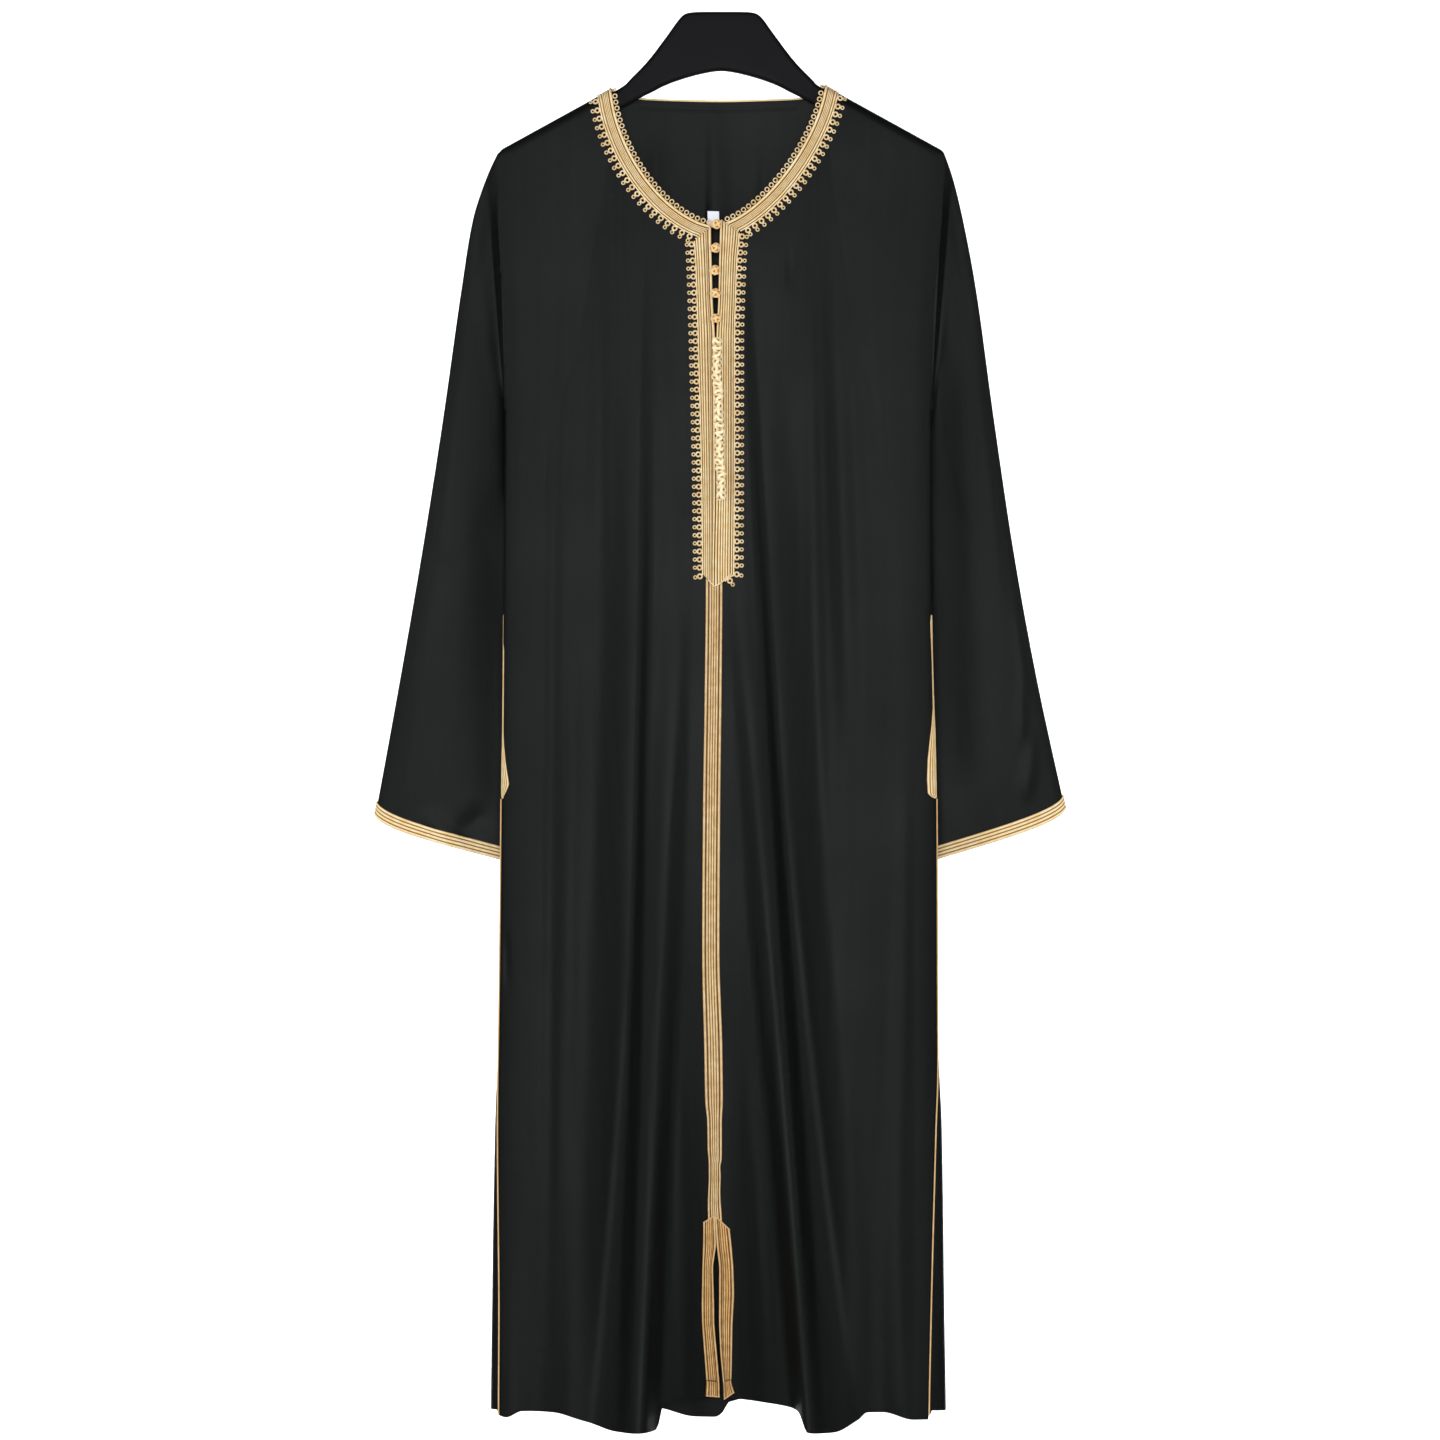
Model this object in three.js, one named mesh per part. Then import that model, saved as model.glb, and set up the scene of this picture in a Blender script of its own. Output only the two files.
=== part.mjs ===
// A long pull-on robe hanging on a shoulder hanger: two front halves, a back, two flared sleeves, and
// gold braid, looped edging, buttons and piping sewn on.  Millimetres, +Z up.  The origin is the middle of
// the hanger's top, where it is held.  The front of the robe faces -Y, and left means the -X side.
import * as THREE from "three";

// ---------------------------------------------------------------- driving dimensions
const CLOTH = 1.4; // wall of the cloth
const SEAM_GAP = 0.4; // between two panels at a seam
const REST_GAP = 0.35; // between a trim and what it lies on
const TRIM_LIFT = 0.85; // from the cloth's faceted outside to a strip that is laid across its facets
const BRAID = 1.1; // thickness of the flat braid
const LACE = 0.9; // thickness of the looped edgings
const SEAM_ANGLE_GAP = 0.012; // the seam gap, as an angle round the body section

const SHOULDER_SLOPE = 0.55; // fall of the shoulder line for each mm outwards
const SHOULDER_AT = { x: 120, z: -82 }; // a point of the shoulder line, right and left
const SHOULDER_ROUND = 9; // how far below the shoulder line the cloth reaches its full depth
const NECK_X = { left: -104.5, right: 98 }; // where the neck edge meets the shoulder line
const ARMHOLE = { top: -132, bottom: -382 };
const SIDE_HEM_Z = -1345;
const EDGE_ANGLE = 0.155; // how far round the section the armhole edges stop short of the side

// The neck line, one superellipse a side: the path that the inner looped edging follows.
const NECK = {
  left: { x: -3.4, top: -73, halfWidth: 98.9, depth: 131.5, power: 1.68 },
  right: { x: -3.4, top: -69, halfWidth: 100.5, depth: 133.5, power: 1.5 },
};
// Offsets outwards from that path.
const NECK_BAND = { picotIn: -2.5, picotOut: 2, braidIn: 2.4, cloth: 3.4, braidOut: 14.8 };
const NECK_START = 4; // how far below the shoulder line the neck's trims start
const NECK_TURNS = { first: 0.1, last: 0.985 }; // of the panel's neck edge, from shoulder to front
const SCALLOP = { gap: 0.4, reach: 10, belowMitre: 7, aboveEnd: 2 };

// Body outline and depth, down the robe.  left and right are the outer edges, front and back the depth of
// the section before its folds, lap is how far (radians) the side seams sit round on the front.
const BODY = [
  { z: -60, left: -213, right: 214, front: 12, back: 12, lapLeft: 0.07, lapRight: 0.07 },
  { z: -132, left: -213, right: 214, front: 14, back: 14, lapLeft: 0.07, lapRight: 0.07 },
  { z: -192, left: -214, right: 212, front: 15, back: 14, lapLeft: 0.07, lapRight: 0.07 },
  { z: -291, left: -208.5, right: 204, front: 17, back: 15, lapLeft: 0.07, lapRight: 0.07 },
  { z: -382, left: -207.5, right: 202, front: 18, back: 16, lapLeft: 0.07, lapRight: 0.07 },
  { z: -564, left: -209, right: 202.5, front: 19, back: 17, lapLeft: 0.08, lapRight: 0.08 },
  { z: -756, left: -211, right: 207, front: 21, back: 19, lapLeft: 0.1, lapRight: 0.1 },
  { z: -987, left: -214, right: 208.5, front: 24, back: 22, lapLeft: 0.12, lapRight: 0.12 },
  { z: -1073, left: -217, right: 212, front: 26, back: 23, lapLeft: 0.18, lapRight: 0.25 },
  { z: -1256, left: -220, right: 214.5, front: 29, back: 25, lapLeft: 0.27, lapRight: 0.36 },
  { z: -1362, left: -221, right: 216, front: 31, back: 26, lapLeft: 0.28, lapRight: 0.4 },
];

// The edges of the two front halves at the centre: apart in the neck slit and the hem slit, else a seam.
const CENTRE = [
  { z: -195, left: -9.3, right: -1.2 },
  { z: -240, left: -8.6, right: -1.9 },
  { z: -277, left: -7.7, right: -2.6 },
  { z: -319, left: -5.2, right: -4.4 },
  { z: -468, left: -5, right: -4.6 },
  { z: -564, left: -6.7, right: -6.3 },
  { z: -756, left: -8.8, right: -8.4 },
  { z: -900, left: -9.8, right: -9.4 },
  { z: -996, left: -7.4, right: -7 },
  { z: -1128, left: -7, right: -6.6 },
  { z: -1183, left: -4.7, right: -3.9 },
  { z: -1203, left: -8.2, right: -1.9 },
  { z: -1258, left: -6.9, right: -2.2 },
  { z: -1287, left: -4.2, right: -0.8 },
  { z: -1362, left: -1.5, right: 1.7 },
];

// Folds of the front.  Each runs from (x, z) top to bottom, bend is the power of its drift sideways, wl and
// wr are its half widths to the left and right at its top and bottom, out is how far it stands out at its
// top, middle and bottom (negative is a trough), lean is how far its crest is pushed aside at the bottom.
const FRONT_FOLDS = [
  { z: [-219, -1325], x: [-84, -111], bend: 2, wl: [21, 24], wr: [19, 20], out: [0, -9, -2], lean: 0 },
  { z: [-488, -1420], x: [-35, -84], bend: 1, wl: [14, 46], wr: [14, 24], out: [0, 10, 33], lean: 7 },
  { z: [-230, -1300], x: [-158, -167], bend: 1, wl: [10, 12], wr: [10, 12], out: [0, -2, 0], lean: 0 },
  { z: [-1050, -1420], x: [-168, -174], bend: 1, wl: [30, 34], wr: [30, 34], out: [0, -3, -8], lean: 0 },
  { z: [-526, -1420], x: [-8, 7], bend: 1, wl: [38, 70], wr: [38, 70], out: [0, -6, -21], lean: 0 },
  { z: [-228, -1325], x: [37, 115], bend: 1.3, wl: [16, 22], wr: [18, 22], out: [0, -9, -2], lean: 0 },
  { z: [-449, -1420], x: [7, 92], bend: 1, wl: [14, 18], wr: [14, 46], out: [0, 10, 34], lean: -7 },
  { z: [-200, -720], x: [106, 124], bend: 1, wl: [16, 18], wr: [16, 18], out: [0, -4, 0], lean: 0 },
  { z: [-1050, -1420], x: [140, 150], bend: 1, wl: [26, 32], wr: [26, 32], out: [0, -4, -10], lean: 0 },
];
// Folds of the back, in the same terms; out is away from the front.
const BACK_FOLDS = [
  { z: [-96, -760], x: [-7, -14], bend: 1, wl: [9, 16], wr: [9, 16], out: [3, 3, 0], lean: 0 },
  { z: [-330, -1420], x: [-70, -96], bend: 1, wl: [26, 40], wr: [22, 34], out: [0, 8, 26], lean: 5 },
  { z: [-300, -1420], x: [72, 84], bend: 1, wl: [24, 36], wr: [26, 42], out: [0, 7, 24], lean: -5 },
  { z: [-520, -1420], x: [-10, -4], bend: 1, wl: [22, 40], wr: [22, 40], out: [0, -4, -7], lean: 0 },
  { z: [-560, -1420], x: [-150, -158], bend: 1, wl: [18, 26], wr: [18, 26], out: [0, -3, -6], lean: 0 },
  { z: [-560, -1420], x: [142, 152], bend: 1, wl: [18, 26], wr: [18, 26], out: [0, -3, -6], lean: 0 },
];
const FOLD_MARGIN = 0.3; // sine of the section angle below which folds fade out at the sides

// Hem heights along x.
const FRONT_HEM = [
  { x: -215, z: -1345 }, { x: -206, z: -1347 }, { x: -190, z: -1341 }, { x: -160, z: -1342 },
  { x: -130, z: -1350 }, { x: -99, z: -1358 }, { x: -68, z: -1357 }, { x: -58, z: -1346 },
  { x: -50, z: -1332 }, { x: -30, z: -1328 }, { x: -1, z: -1328 }, { x: 16, z: -1331 },
  { x: 47, z: -1332 }, { x: 72, z: -1337 }, { x: 84, z: -1357 }, { x: 108, z: -1359 },
  { x: 131, z: -1349 }, { x: 140, z: -1342 }, { x: 155, z: -1342 }, { x: 185, z: -1349 },
  { x: 200, z: -1349 }, { x: 216, z: -1345 },
];
const BACK_HEM = [
  { x: -221, z: -1340 }, { x: -155, z: -1333 }, { x: -59, z: -1340 }, { x: -22, z: -1350 },
  { x: -5, z: -1349 }, { x: 8, z: -1338 }, { x: 47, z: -1332 }, { x: 143, z: -1334 }, { x: 216, z: -1341 },
];
const BACK_NECK = [
  { x: -104.5, z: -73.5 }, { x: -97, z: -78.5 }, { x: -82, z: -82.6 }, { x: -40, z: -84.6 },
  { x: 0, z: -85.3 }, { x: 40, z: -84.4 }, { x: 76, z: -82.8 }, { x: 90, z: -78 }, { x: 98, z: -70 },
];

// Sleeves, from the armhole to the cuff.  along is the fraction of the way down, outer and inner are the
// folded edges (x outwards from the origin), back is how far each edge hangs behind the middle plane.
const SLEEVES = {
  left: [
    { along: 0, outerX: 213, outerZ: -132, innerX: 207.5, innerZ: -382, outerBack: 0, innerBack: -1 },
    { along: 0.04, outerX: 228, outerZ: -157, innerX: 208.4, innerZ: -400, outerBack: 2, innerBack: 20 },
    { along: 0.1, outerX: 239, outerZ: -200, innerX: 206, innerZ: -428, outerBack: 6, innerBack: 23 },
    { along: 0.2, outerX: 249.5, outerZ: -262, innerX: 204, innerZ: -472, outerBack: 9, innerBack: 28 },
    { along: 0.4, outerX: 268, outerZ: -390, innerX: 204, innerZ: -560, outerBack: 13, innerBack: 33 },
    { along: 0.6, outerX: 288, outerZ: -516, innerX: 195, innerZ: -648, outerBack: 16, innerBack: 35 },
    { along: 0.8, outerX: 309, outerZ: -637, innerX: 184, innerZ: -737, outerBack: 18, innerBack: 36 },
    { along: 1, outerX: 333.5, outerZ: -771, innerX: 173, innerZ: -825, outerBack: 20, innerBack: 37 },
  ],
  right: [
    { along: 0, outerX: 214, outerZ: -132, innerX: 202, innerZ: -382, outerBack: 0, innerBack: -1 },
    { along: 0.04, outerX: 224, outerZ: -157, innerX: 203, innerZ: -400, outerBack: 2, innerBack: 20 },
    { along: 0.1, outerX: 233, outerZ: -200, innerX: 200.5, innerZ: -428, outerBack: 6, innerBack: 23 },
    { along: 0.2, outerX: 245, outerZ: -262, innerX: 198.5, innerZ: -472, outerBack: 9, innerBack: 28 },
    { along: 0.4, outerX: 263, outerZ: -390, innerX: 200, innerZ: -560, outerBack: 13, innerBack: 33 },
    { along: 0.6, outerX: 282, outerZ: -516, innerX: 192, innerZ: -648, outerBack: 16, innerBack: 35 },
    { along: 0.8, outerX: 304, outerZ: -637, innerX: 183, innerZ: -737, outerBack: 18, innerBack: 36 },
    { along: 1, outerX: 332, outerZ: -765, innerX: 173, innerZ: -825, outerBack: 20, innerBack: 37 },
  ],
};
const SLEEVE_HALF_DEPTH = 8; // of the flattened tube
const CUFF_BRAID_WIDTH = 13.4;

// Straight braids on the front: edges down their length.
const PLACKET = {
  left: [
    { z: -213, out: -24.5, in: -9.2 }, { z: -240, out: -23, in: -8.6 }, { z: -277, out: -21.6, in: -7.6 },
    { z: -319, out: -20.4, in: -5.3 }, { z: -449, out: -17.3, in: -5 }, { z: -541, out: -16.4, in: -6.1 },
  ],
  right: [
    { z: -206, out: 16.5, in: -1.2 }, { z: -240, out: 13.9, in: -1.9 }, { z: -277, out: 12.5, in: -2.7 },
    { z: -319, out: 11.5, in: -4.6 }, { z: -449, out: 11.4, in: -4.6 }, { z: -541, out: 11, in: -5.7 },
  ],
  pointZ: -551,
};
const CENTRE_BRAID = [
  { z: -552.5, left: -14.4, right: 1.2 }, { z: -660, left: -15.8, right: 0.5 },
  { z: -756, left: -17.3, right: -0.6 }, { z: -900, left: -18.2, right: -1.4 },
  { z: -996, left: -16.3, right: 1.4 }, { z: -1044, left: -15.4, right: 1.9 },
  { z: -1092, left: -13, right: 1 }, { z: -1128, left: -12.7, right: -1 },
  { z: -1152, left: -13.2, right: 0.4 },
];
const HEM_SLIT = {
  left: [
    { out: [-17.3, -1161], in: [-6.6, -1154.5] }, { out: [-17.6, -1183], in: [-4.9, -1183] },
    { out: [-18.2, -1203], in: [-8.2, -1203] }, { out: [-19, -1241], in: [-6.9, -1241] },
    { out: [-18.6, -1258], in: [-6.9, -1258] }, { out: [-16.5, -1287], in: [-4.2, -1287] },
    { out: [-14.6, -1314], in: [-2.6, -1314] }, { out: [-15.4, -1326.5], in: [-2.2, -1327] },
  ],
  right: [
    { out: [8.6, -1168], in: [-6.2, -1154.5] }, { out: [10.4, -1183], in: [-3.9, -1183] },
    { out: [12.1, -1203], in: [-1.9, -1203] }, { out: [13, -1230], in: [-2.1, -1230] },
    { out: [11.3, -1258], in: [-2.2, -1258] }, { out: [10.7, -1287], in: [-0.8, -1287] },
    { out: [9.6, -1317], in: [1.2, -1319] }, { out: [12.3, -1326.5], in: [1.3, -1329] },
  ],
};
const BUTTON_RADIUS = 4.4;
// Each button's height and how far right of the slit's middle it sits.
const BUTTONS = [
  { z: -205.4, aside: 1.4 }, { z: -228.1, aside: 0 }, { z: -249.6, aside: -0.2 },
  { z: -271.7, aside: 0.3 }, { z: -295.7, aside: 1 },
];
const KNOTS = { top: -315, bottom: -469, radius: 4.1, xTop: -4.4, xBottom: 0.2 };
const KNOTS_BEAR = { left: -7, right: -2 }; // where the knots rest on the placket braids
const POCKET_SLIT = { top: -579, bottom: -755 };
const PIPING = { radius: 1, top: -757 };
const LABEL = { x: -7.5, width: 11, top: -192.5, bottom: -217, thickness: 1, bearX: -11.4 };
const BACK_BRAID = { from: -90, to: 83, above: 1.4, below: 11 };
const FACING = { from: -78, to: 72, start: 1, depth: 9 };
const UNDER_EDGE = 2; // how far under the back neck's edge a trim takes its depth from

// Hanger: top and underside by distance from the middle, and its thickness.
const HANGER = {
  thickness: 11,
  bevel: 3.4,
  armClear: 5,
  armFrom: 94,
  tip: 190,
  tipDrop: 15,
  tipCorner: 5,
  neck: [
    { x: 0, z: 0 }, { x: 21, z: 0 }, { x: 30, z: -0.5 }, { x: 36, z: -2.4 }, { x: 41, z: -7.7 },
    { x: 49, z: -19.2 }, { x: 57.5, z: -30.7 }, { x: 66, z: -42.2 }, { x: 76, z: -53.8 },
    { x: 87, z: -64.5 },
  ],
  arch: [
    { x: 0, z: -56 }, { x: 20, z: -59.5 }, { x: 40, z: -65.3 }, { x: 55, z: -71 },
    { x: 66, z: -77 }, { x: 79, z: -83 },
  ],
};

// Grid sizes.
const ARMHOLE_ROWS = 10;
const ROW_CROWDING = 2; // power that crowds the armhole's rows towards the shoulder
const LOWER_ROWS = 15;
const SHOULDER_COLUMNS = 5;
const FRONT_NECK_COLUMNS = 9;
const BACK_NECK_COLUMNS = 14;
const SLEEVE_ROWS = 9;
const SLEEVE_CROWDING = 1.35;
const COLUMN_CROWDING = 0.3; // share by which the columns crowd towards the folds
const SHARES_SETTLE = 2.2; // how fast the columns go from their places at the top to even ones
const NECK_STEPS = 22;
const PLACKET_STEPS = 14;
const BRAID_STEPS = 12;
const KNOT_STEPS = 12;

// ---------------------------------------------------------------- small mathematics
const lerp = (a, b, t) => a + (b - a) * t;
const clamp01 = (t) => Math.min(1, Math.max(0, t));
const smooth = (t) => clamp01(t) ** 2 * (3 - 2 * clamp01(t));

// Reads column name of a table at key value, by a curve through its rows that never overshoots them.
function read(table, key, value, name) {
  const falling = table[0][key] > table[table.length - 1][key];
  let i = 0;
  while (i < table.length - 2 && (falling ? value < table[i + 1][key] : value > table[i + 1][key])) i += 1;
  const at = (k) => table[Math.min(table.length - 1, Math.max(0, k))];
  const slope = (k) => {
    const before = at(k)[key] - at(k - 1)[key];
    const after = at(k + 1)[key] - at(k)[key];
    if (!before || !after) return 0;
    const s0 = (at(k)[name] - at(k - 1)[name]) / before;
    const s1 = (at(k + 1)[name] - at(k)[name]) / after;
    return s0 * s1 > 0 ? (2 * s0 * s1) / (s0 + s1) : 0;
  };
  const span = at(i + 1)[key] - at(i)[key];
  const t = clamp01((value - at(i)[key]) / span);
  const [p0, p1] = [at(i)[name], at(i + 1)[name]];
  const [m0, m1] = [slope(i) * span, slope(i + 1) * span];
  const [t2, t3] = [t * t, t * t * t];
  return (2 * t3 - 3 * t2 + 1) * p0 + (t3 - 2 * t2 + t) * m0 + (3 * t2 - 2 * t3) * p1 + (t3 - t2) * m1;
}

const shoulderZ = (x) => SHOULDER_AT.z - SHOULDER_SLOPE * (Math.abs(x) - SHOULDER_AT.x);

// A point of the neck path pushed outwards by an offset.  turn runs from 0 at the shoulder to 1 in front.
function neckPoint(side, turn, offset) {
  const n = NECK[side];
  const angle = (turn * Math.PI) / 2;
  const [c, s] = [Math.cos(angle), Math.sin(angle)];
  const sign = side === "left" ? -1 : 1;
  const x = n.halfWidth * c ** (2 / n.power);
  const z = -n.depth * s ** (2 / n.power);
  const nx = (x / n.halfWidth) ** (n.power - 1) / n.halfWidth;
  const nz = -((-z / n.depth) ** (n.power - 1)) / n.depth;
  const size = Math.hypot(nx, nz);
  return { x: n.x + sign * (x + (offset * nx) / size), z: n.top + z + (offset * nz) / size };
}

// How far the folds of a list push a point out and sideways.
function foldPush(folds, x, z) {
  let out = 0;
  let aside = 0;
  for (const f of folds) {
    const t = (f.z[0] - z) / (f.z[0] - f.z[1]);
    if (t <= 0 || t >= 1) continue;
    const middle = lerp(f.x[0], f.x[1], t ** f.bend);
    const half = x < middle ? lerp(f.wl[0], f.wl[1], t) : lerp(f.wr[0], f.wr[1], t);
    const u = Math.abs(x - middle) / half;
    if (u >= 1) continue;
    const [top, mid, low] = f.out;
    const height = top * (1 - t) * (1 - 2 * t) + 4 * mid * t * (1 - t) + low * t * (2 * t - 1);
    const bump = Math.cos((u * Math.PI) / 2) ** 2;
    out += height * bump;
    aside += f.lean * bump * t ** 3;
  }
  return { out, aside };
}

// ---------------------------------------------------------------- the body section
// A section is walked by an angle: 0 at the right side, a quarter turn at the back, a half turn at the left
// side and three quarters at the front.
function section(z) {
  const left = read(BODY, "z", z, "left");
  const right = read(BODY, "z", z, "right");
  const inArmhole = smooth((z - ARMHOLE.bottom) / 30 + 0.2);
  const widen = 1 / lerp(1, Math.cos(EDGE_ANGLE), inArmhole);
  return { middle: (left + right) / 2, half: ((right - left) / 2) * widen };
}

function bodyPoint(angle, z) {
  const { middle, half } = section(z);
  const x = middle + half * Math.cos(angle);
  const across = Math.sin(angle);
  const atFront = across < 0;
  const depth = read(BODY, "z", z, atFront ? "front" : "back");
  const below = clamp01((shoulderZ(x) - z) / SHOULDER_ROUND);
  const round = Math.sqrt(1 - (1 - below) ** 2);
  const push = foldPush(atFront ? FRONT_FOLDS : BACK_FOLDS, x, z);
  const inward = smooth(Math.abs(across) / FOLD_MARGIN);
  const y = depth * Math.sqrt(Math.abs(across)) * round + push.out * inward * round;
  return new THREE.Vector3(x + push.aside * inward, (atFront ? -1 : 1) * (y + SEAM_GAP / 2), z);
}

// The outward normal of the section's surface, from its slopes round the section and down the robe.
function bodyNormal(angle, z) {
  const round = bodyPoint(angle + 1e-3, z).sub(bodyPoint(angle - 1e-3, z));
  const up = bodyPoint(angle, z + 0.5).sub(bodyPoint(angle, z - 0.5));
  return round.cross(up).normalize();
}
// At the shoulder seam the cloth's outside faces up, square to the shoulder line.
const shoulderNormal = (x) => new THREE.Vector3(Math.sign(x) * SHOULDER_SLOPE, 0, 1).normalize();

const angleOfX = (x, z) => {
  const { middle, half } = section(z);
  return Math.acos(Math.min(1, Math.max(-1, (x - middle) / half)));
};
// Where the front and the back panel stop at each side.
function frontEdge(side, z) {
  const lap = read(BODY, "z", z, side === "left" ? "lapLeft" : "lapRight");
  const stop = lerp(lap, EDGE_ANGLE, smooth((z - ARMHOLE.bottom) / 40));
  return side === "left" ? Math.PI + stop : 2 * Math.PI - stop;
}
function backEdge(side, z) {
  const lap = read(BODY, "z", z, side === "left" ? "lapLeft" : "lapRight") - SEAM_ANGLE_GAP;
  const stop = lerp(lap, -EDGE_ANGLE, smooth((z - ARMHOLE.bottom) / 40));
  return side === "left" ? Math.PI + stop : -stop;
}

// Row fractions down a panel: close together over the shoulder, a row at the underarm, then even.
const UNDERARM_AT = (ARMHOLE.top - ARMHOLE.bottom) / (ARMHOLE.top - SIDE_HEM_Z);
const ROWS = [];
for (let k = 0; k <= ARMHOLE_ROWS; k += 1) ROWS.push(UNDERARM_AT * (k / ARMHOLE_ROWS) ** ROW_CROWDING);
for (let k = 1; k <= LOWER_ROWS; k += 1) ROWS.push(lerp(UNDERARM_AT, 1, k / LOWER_ROWS));

// ---------------------------------------------------------------- closed bodies from grids
// A grid of at(i, j), with i across and j down.
function gridOf(columns, rows, at) {
  const points = [];
  for (let i = 0; i <= columns; i += 1) {
    points.push([]);
    for (let j = 0; j <= rows; j += 1) points[i].push(at(i, j));
  }
  return points;
}

// Unit normals of a tube's grid by its neighbours, turned to the side of facing(i).
function tubeNormals(points, facing) {
  const columns = points.length;
  const rows = points[0].length;
  return points.map((line, i) =>
    line.map((point, j) => {
      const before = (i + columns - 1) % columns;
      const after = (i + 1) % columns;
      const across = points[after][j].clone().sub(points[before][j]);
      const down = points[i][Math.min(rows - 1, j + 1)].clone().sub(points[i][Math.max(0, j - 1)]);
      const normal = across.cross(down).normalize();
      return normal.dot(facing(i)) < 0 ? normal.negate() : normal;
    }),
  );
}

// A closed body between a grid and the same grid moved along its normals from near to far.
function wall(points, normals, near, far, closed = false) {
  const columns = points.length;
  const rows = points[0].length;
  const positions = [];
  for (const distance of [near, far])
    for (let i = 0; i < columns; i += 1)
      for (let j = 0; j < rows; j += 1)
        positions.push(points[i][j].clone().addScaledVector(normals[i][j], distance));
  const id = (layer, i, j) => layer * columns * rows + (i % columns) * rows + j;
  const quads = [];
  const spans = closed ? columns : columns - 1;
  for (let i = 0; i < spans; i += 1) {
    for (let j = 0; j < rows - 1; j += 1) {
      quads.push([id(0, i, j), id(0, i + 1, j), id(0, i + 1, j + 1), id(0, i, j + 1)]);
      quads.push([id(1, i, j), id(1, i, j + 1), id(1, i + 1, j + 1), id(1, i + 1, j)]);
    }
    quads.push([id(0, i, 0), id(1, i, 0), id(1, i + 1, 0), id(0, i + 1, 0)]);
    const end = rows - 1;
    quads.push([id(0, i, end), id(0, i + 1, end), id(1, i + 1, end), id(1, i, end)]);
  }
  for (let j = 0; j < rows - 1 && !closed; j += 1) {
    quads.push([id(0, 0, j), id(0, 0, j + 1), id(1, 0, j + 1), id(1, 0, j)]);
    const last = columns - 1;
    quads.push([id(0, last, j), id(1, last, j), id(1, last, j + 1), id(0, last, j + 1)]);
  }
  return closedBody(positions, quads.flatMap(([a, b, c, d]) => [a, b, c, a, c, d]));
}

// A geometry from points and triangles, turned so that its faces point out.
function closedBody(positions, triangles) {
  let volume = 0;
  for (let k = 0; k < triangles.length; k += 3) {
    const [a, b, c] = [0, 1, 2].map((n) => positions[triangles[k + n]]);
    volume += a.clone().cross(b).dot(c);
  }
  const index = [...triangles];
  if (volume < 0)
    for (let k = 0; k < index.length; k += 3) {
      [index[k + 1], index[k + 2]] = [index[k + 2], index[k + 1]];
    }
  const coordinates = positions.flatMap((p) => [p.x, p.y, p.z]);
  const geometry = new THREE.BufferGeometry();
  geometry.setAttribute("position", new THREE.Float32BufferAttribute(coordinates, 3));
  geometry.setIndex(index);
  geometry.computeVertexNormals();
  return geometry;
}

// ---------------------------------------------------------------- cloth panels
const FACE_FRONT = new THREE.Vector3(0, -1, 0);
const FACE_BACK = new THREE.Vector3(0, 1, 0);
// A panel's outer points and normals, where at(i, j) gives the angle and height of each grid point.
function panelOf(columns, onShoulder, at) {
  const places = gridOf(columns, ROWS.length - 1, at);
  const points = places.map((line) => line.map(({ angle, z }) => bodyPoint(angle, z)));
  const normals = places.map((line, i) =>
    line.map(({ angle, z }, j) =>
      j === 0 && onShoulder(i) ? shoulderNormal(points[i][0].x) : bodyNormal(angle, z)));
  return { points, normals };
}

// One front half.  Columns run from the side to the centre front.
function frontPanel(side) {
  const armX = read(BODY, "z", ARMHOLE.top, side);
  const columns = SHOULDER_COLUMNS + FRONT_NECK_COLUMNS;
  const tops = [];
  for (let i = 0; i <= SHOULDER_COLUMNS; i += 1) {
    const x = lerp(armX, NECK_X[side], i / SHOULDER_COLUMNS);
    tops.push({ x, z: shoulderZ(x) });
  }
  for (let i = 1; i <= FRONT_NECK_COLUMNS; i += 1) {
    const turn = lerp(NECK_TURNS.first, NECK_TURNS.last, i / FRONT_NECK_COLUMNS);
    tops.push(neckPoint(side, turn, NECK_BAND.cloth));
  }
  const last = tops[columns];
  last.x = read(CENTRE, "z", last.z, side);
  tops[0].z = ARMHOLE.top;
  const centreAngle = (z) => 2 * Math.PI - angleOfX(read(CENTRE, "z", z, side), z);
  const shareAtTop = tops.map(({ x, z }) => {
    const [from, to] = [frontEdge(side, z), centreAngle(z)];
    return clamp01((2 * Math.PI - angleOfX(x, z) - from) / (to - from));
  });
  shareAtTop[0] = 0;
  shareAtTop[columns] = 1;
  const place = (i, z, fraction) => {
    const w = i / columns;
    const even = w - (COLUMN_CROWDING * Math.sin(Math.PI * w)) / Math.PI;
    const share = lerp(shareAtTop[i], i === columns ? 1 : even, smooth(fraction * SHARES_SETTLE));
    return lerp(frontEdge(side, z), centreAngle(z), share);
  };
  const hemAt = (i) => {
    if (i === 0) return SIDE_HEM_Z;
    const x = bodyPoint(place(i, SIDE_HEM_Z, 1), SIDE_HEM_Z).x;
    return read(FRONT_HEM, "x", x, "z");
  };
  return panelOf(columns, (i) => i <= SHOULDER_COLUMNS, (i, j) => {
    const z = lerp(tops[i].z, hemAt(i), ROWS[j]);
    return { angle: place(i, z, ROWS[j]), z };
  });
}

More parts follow.
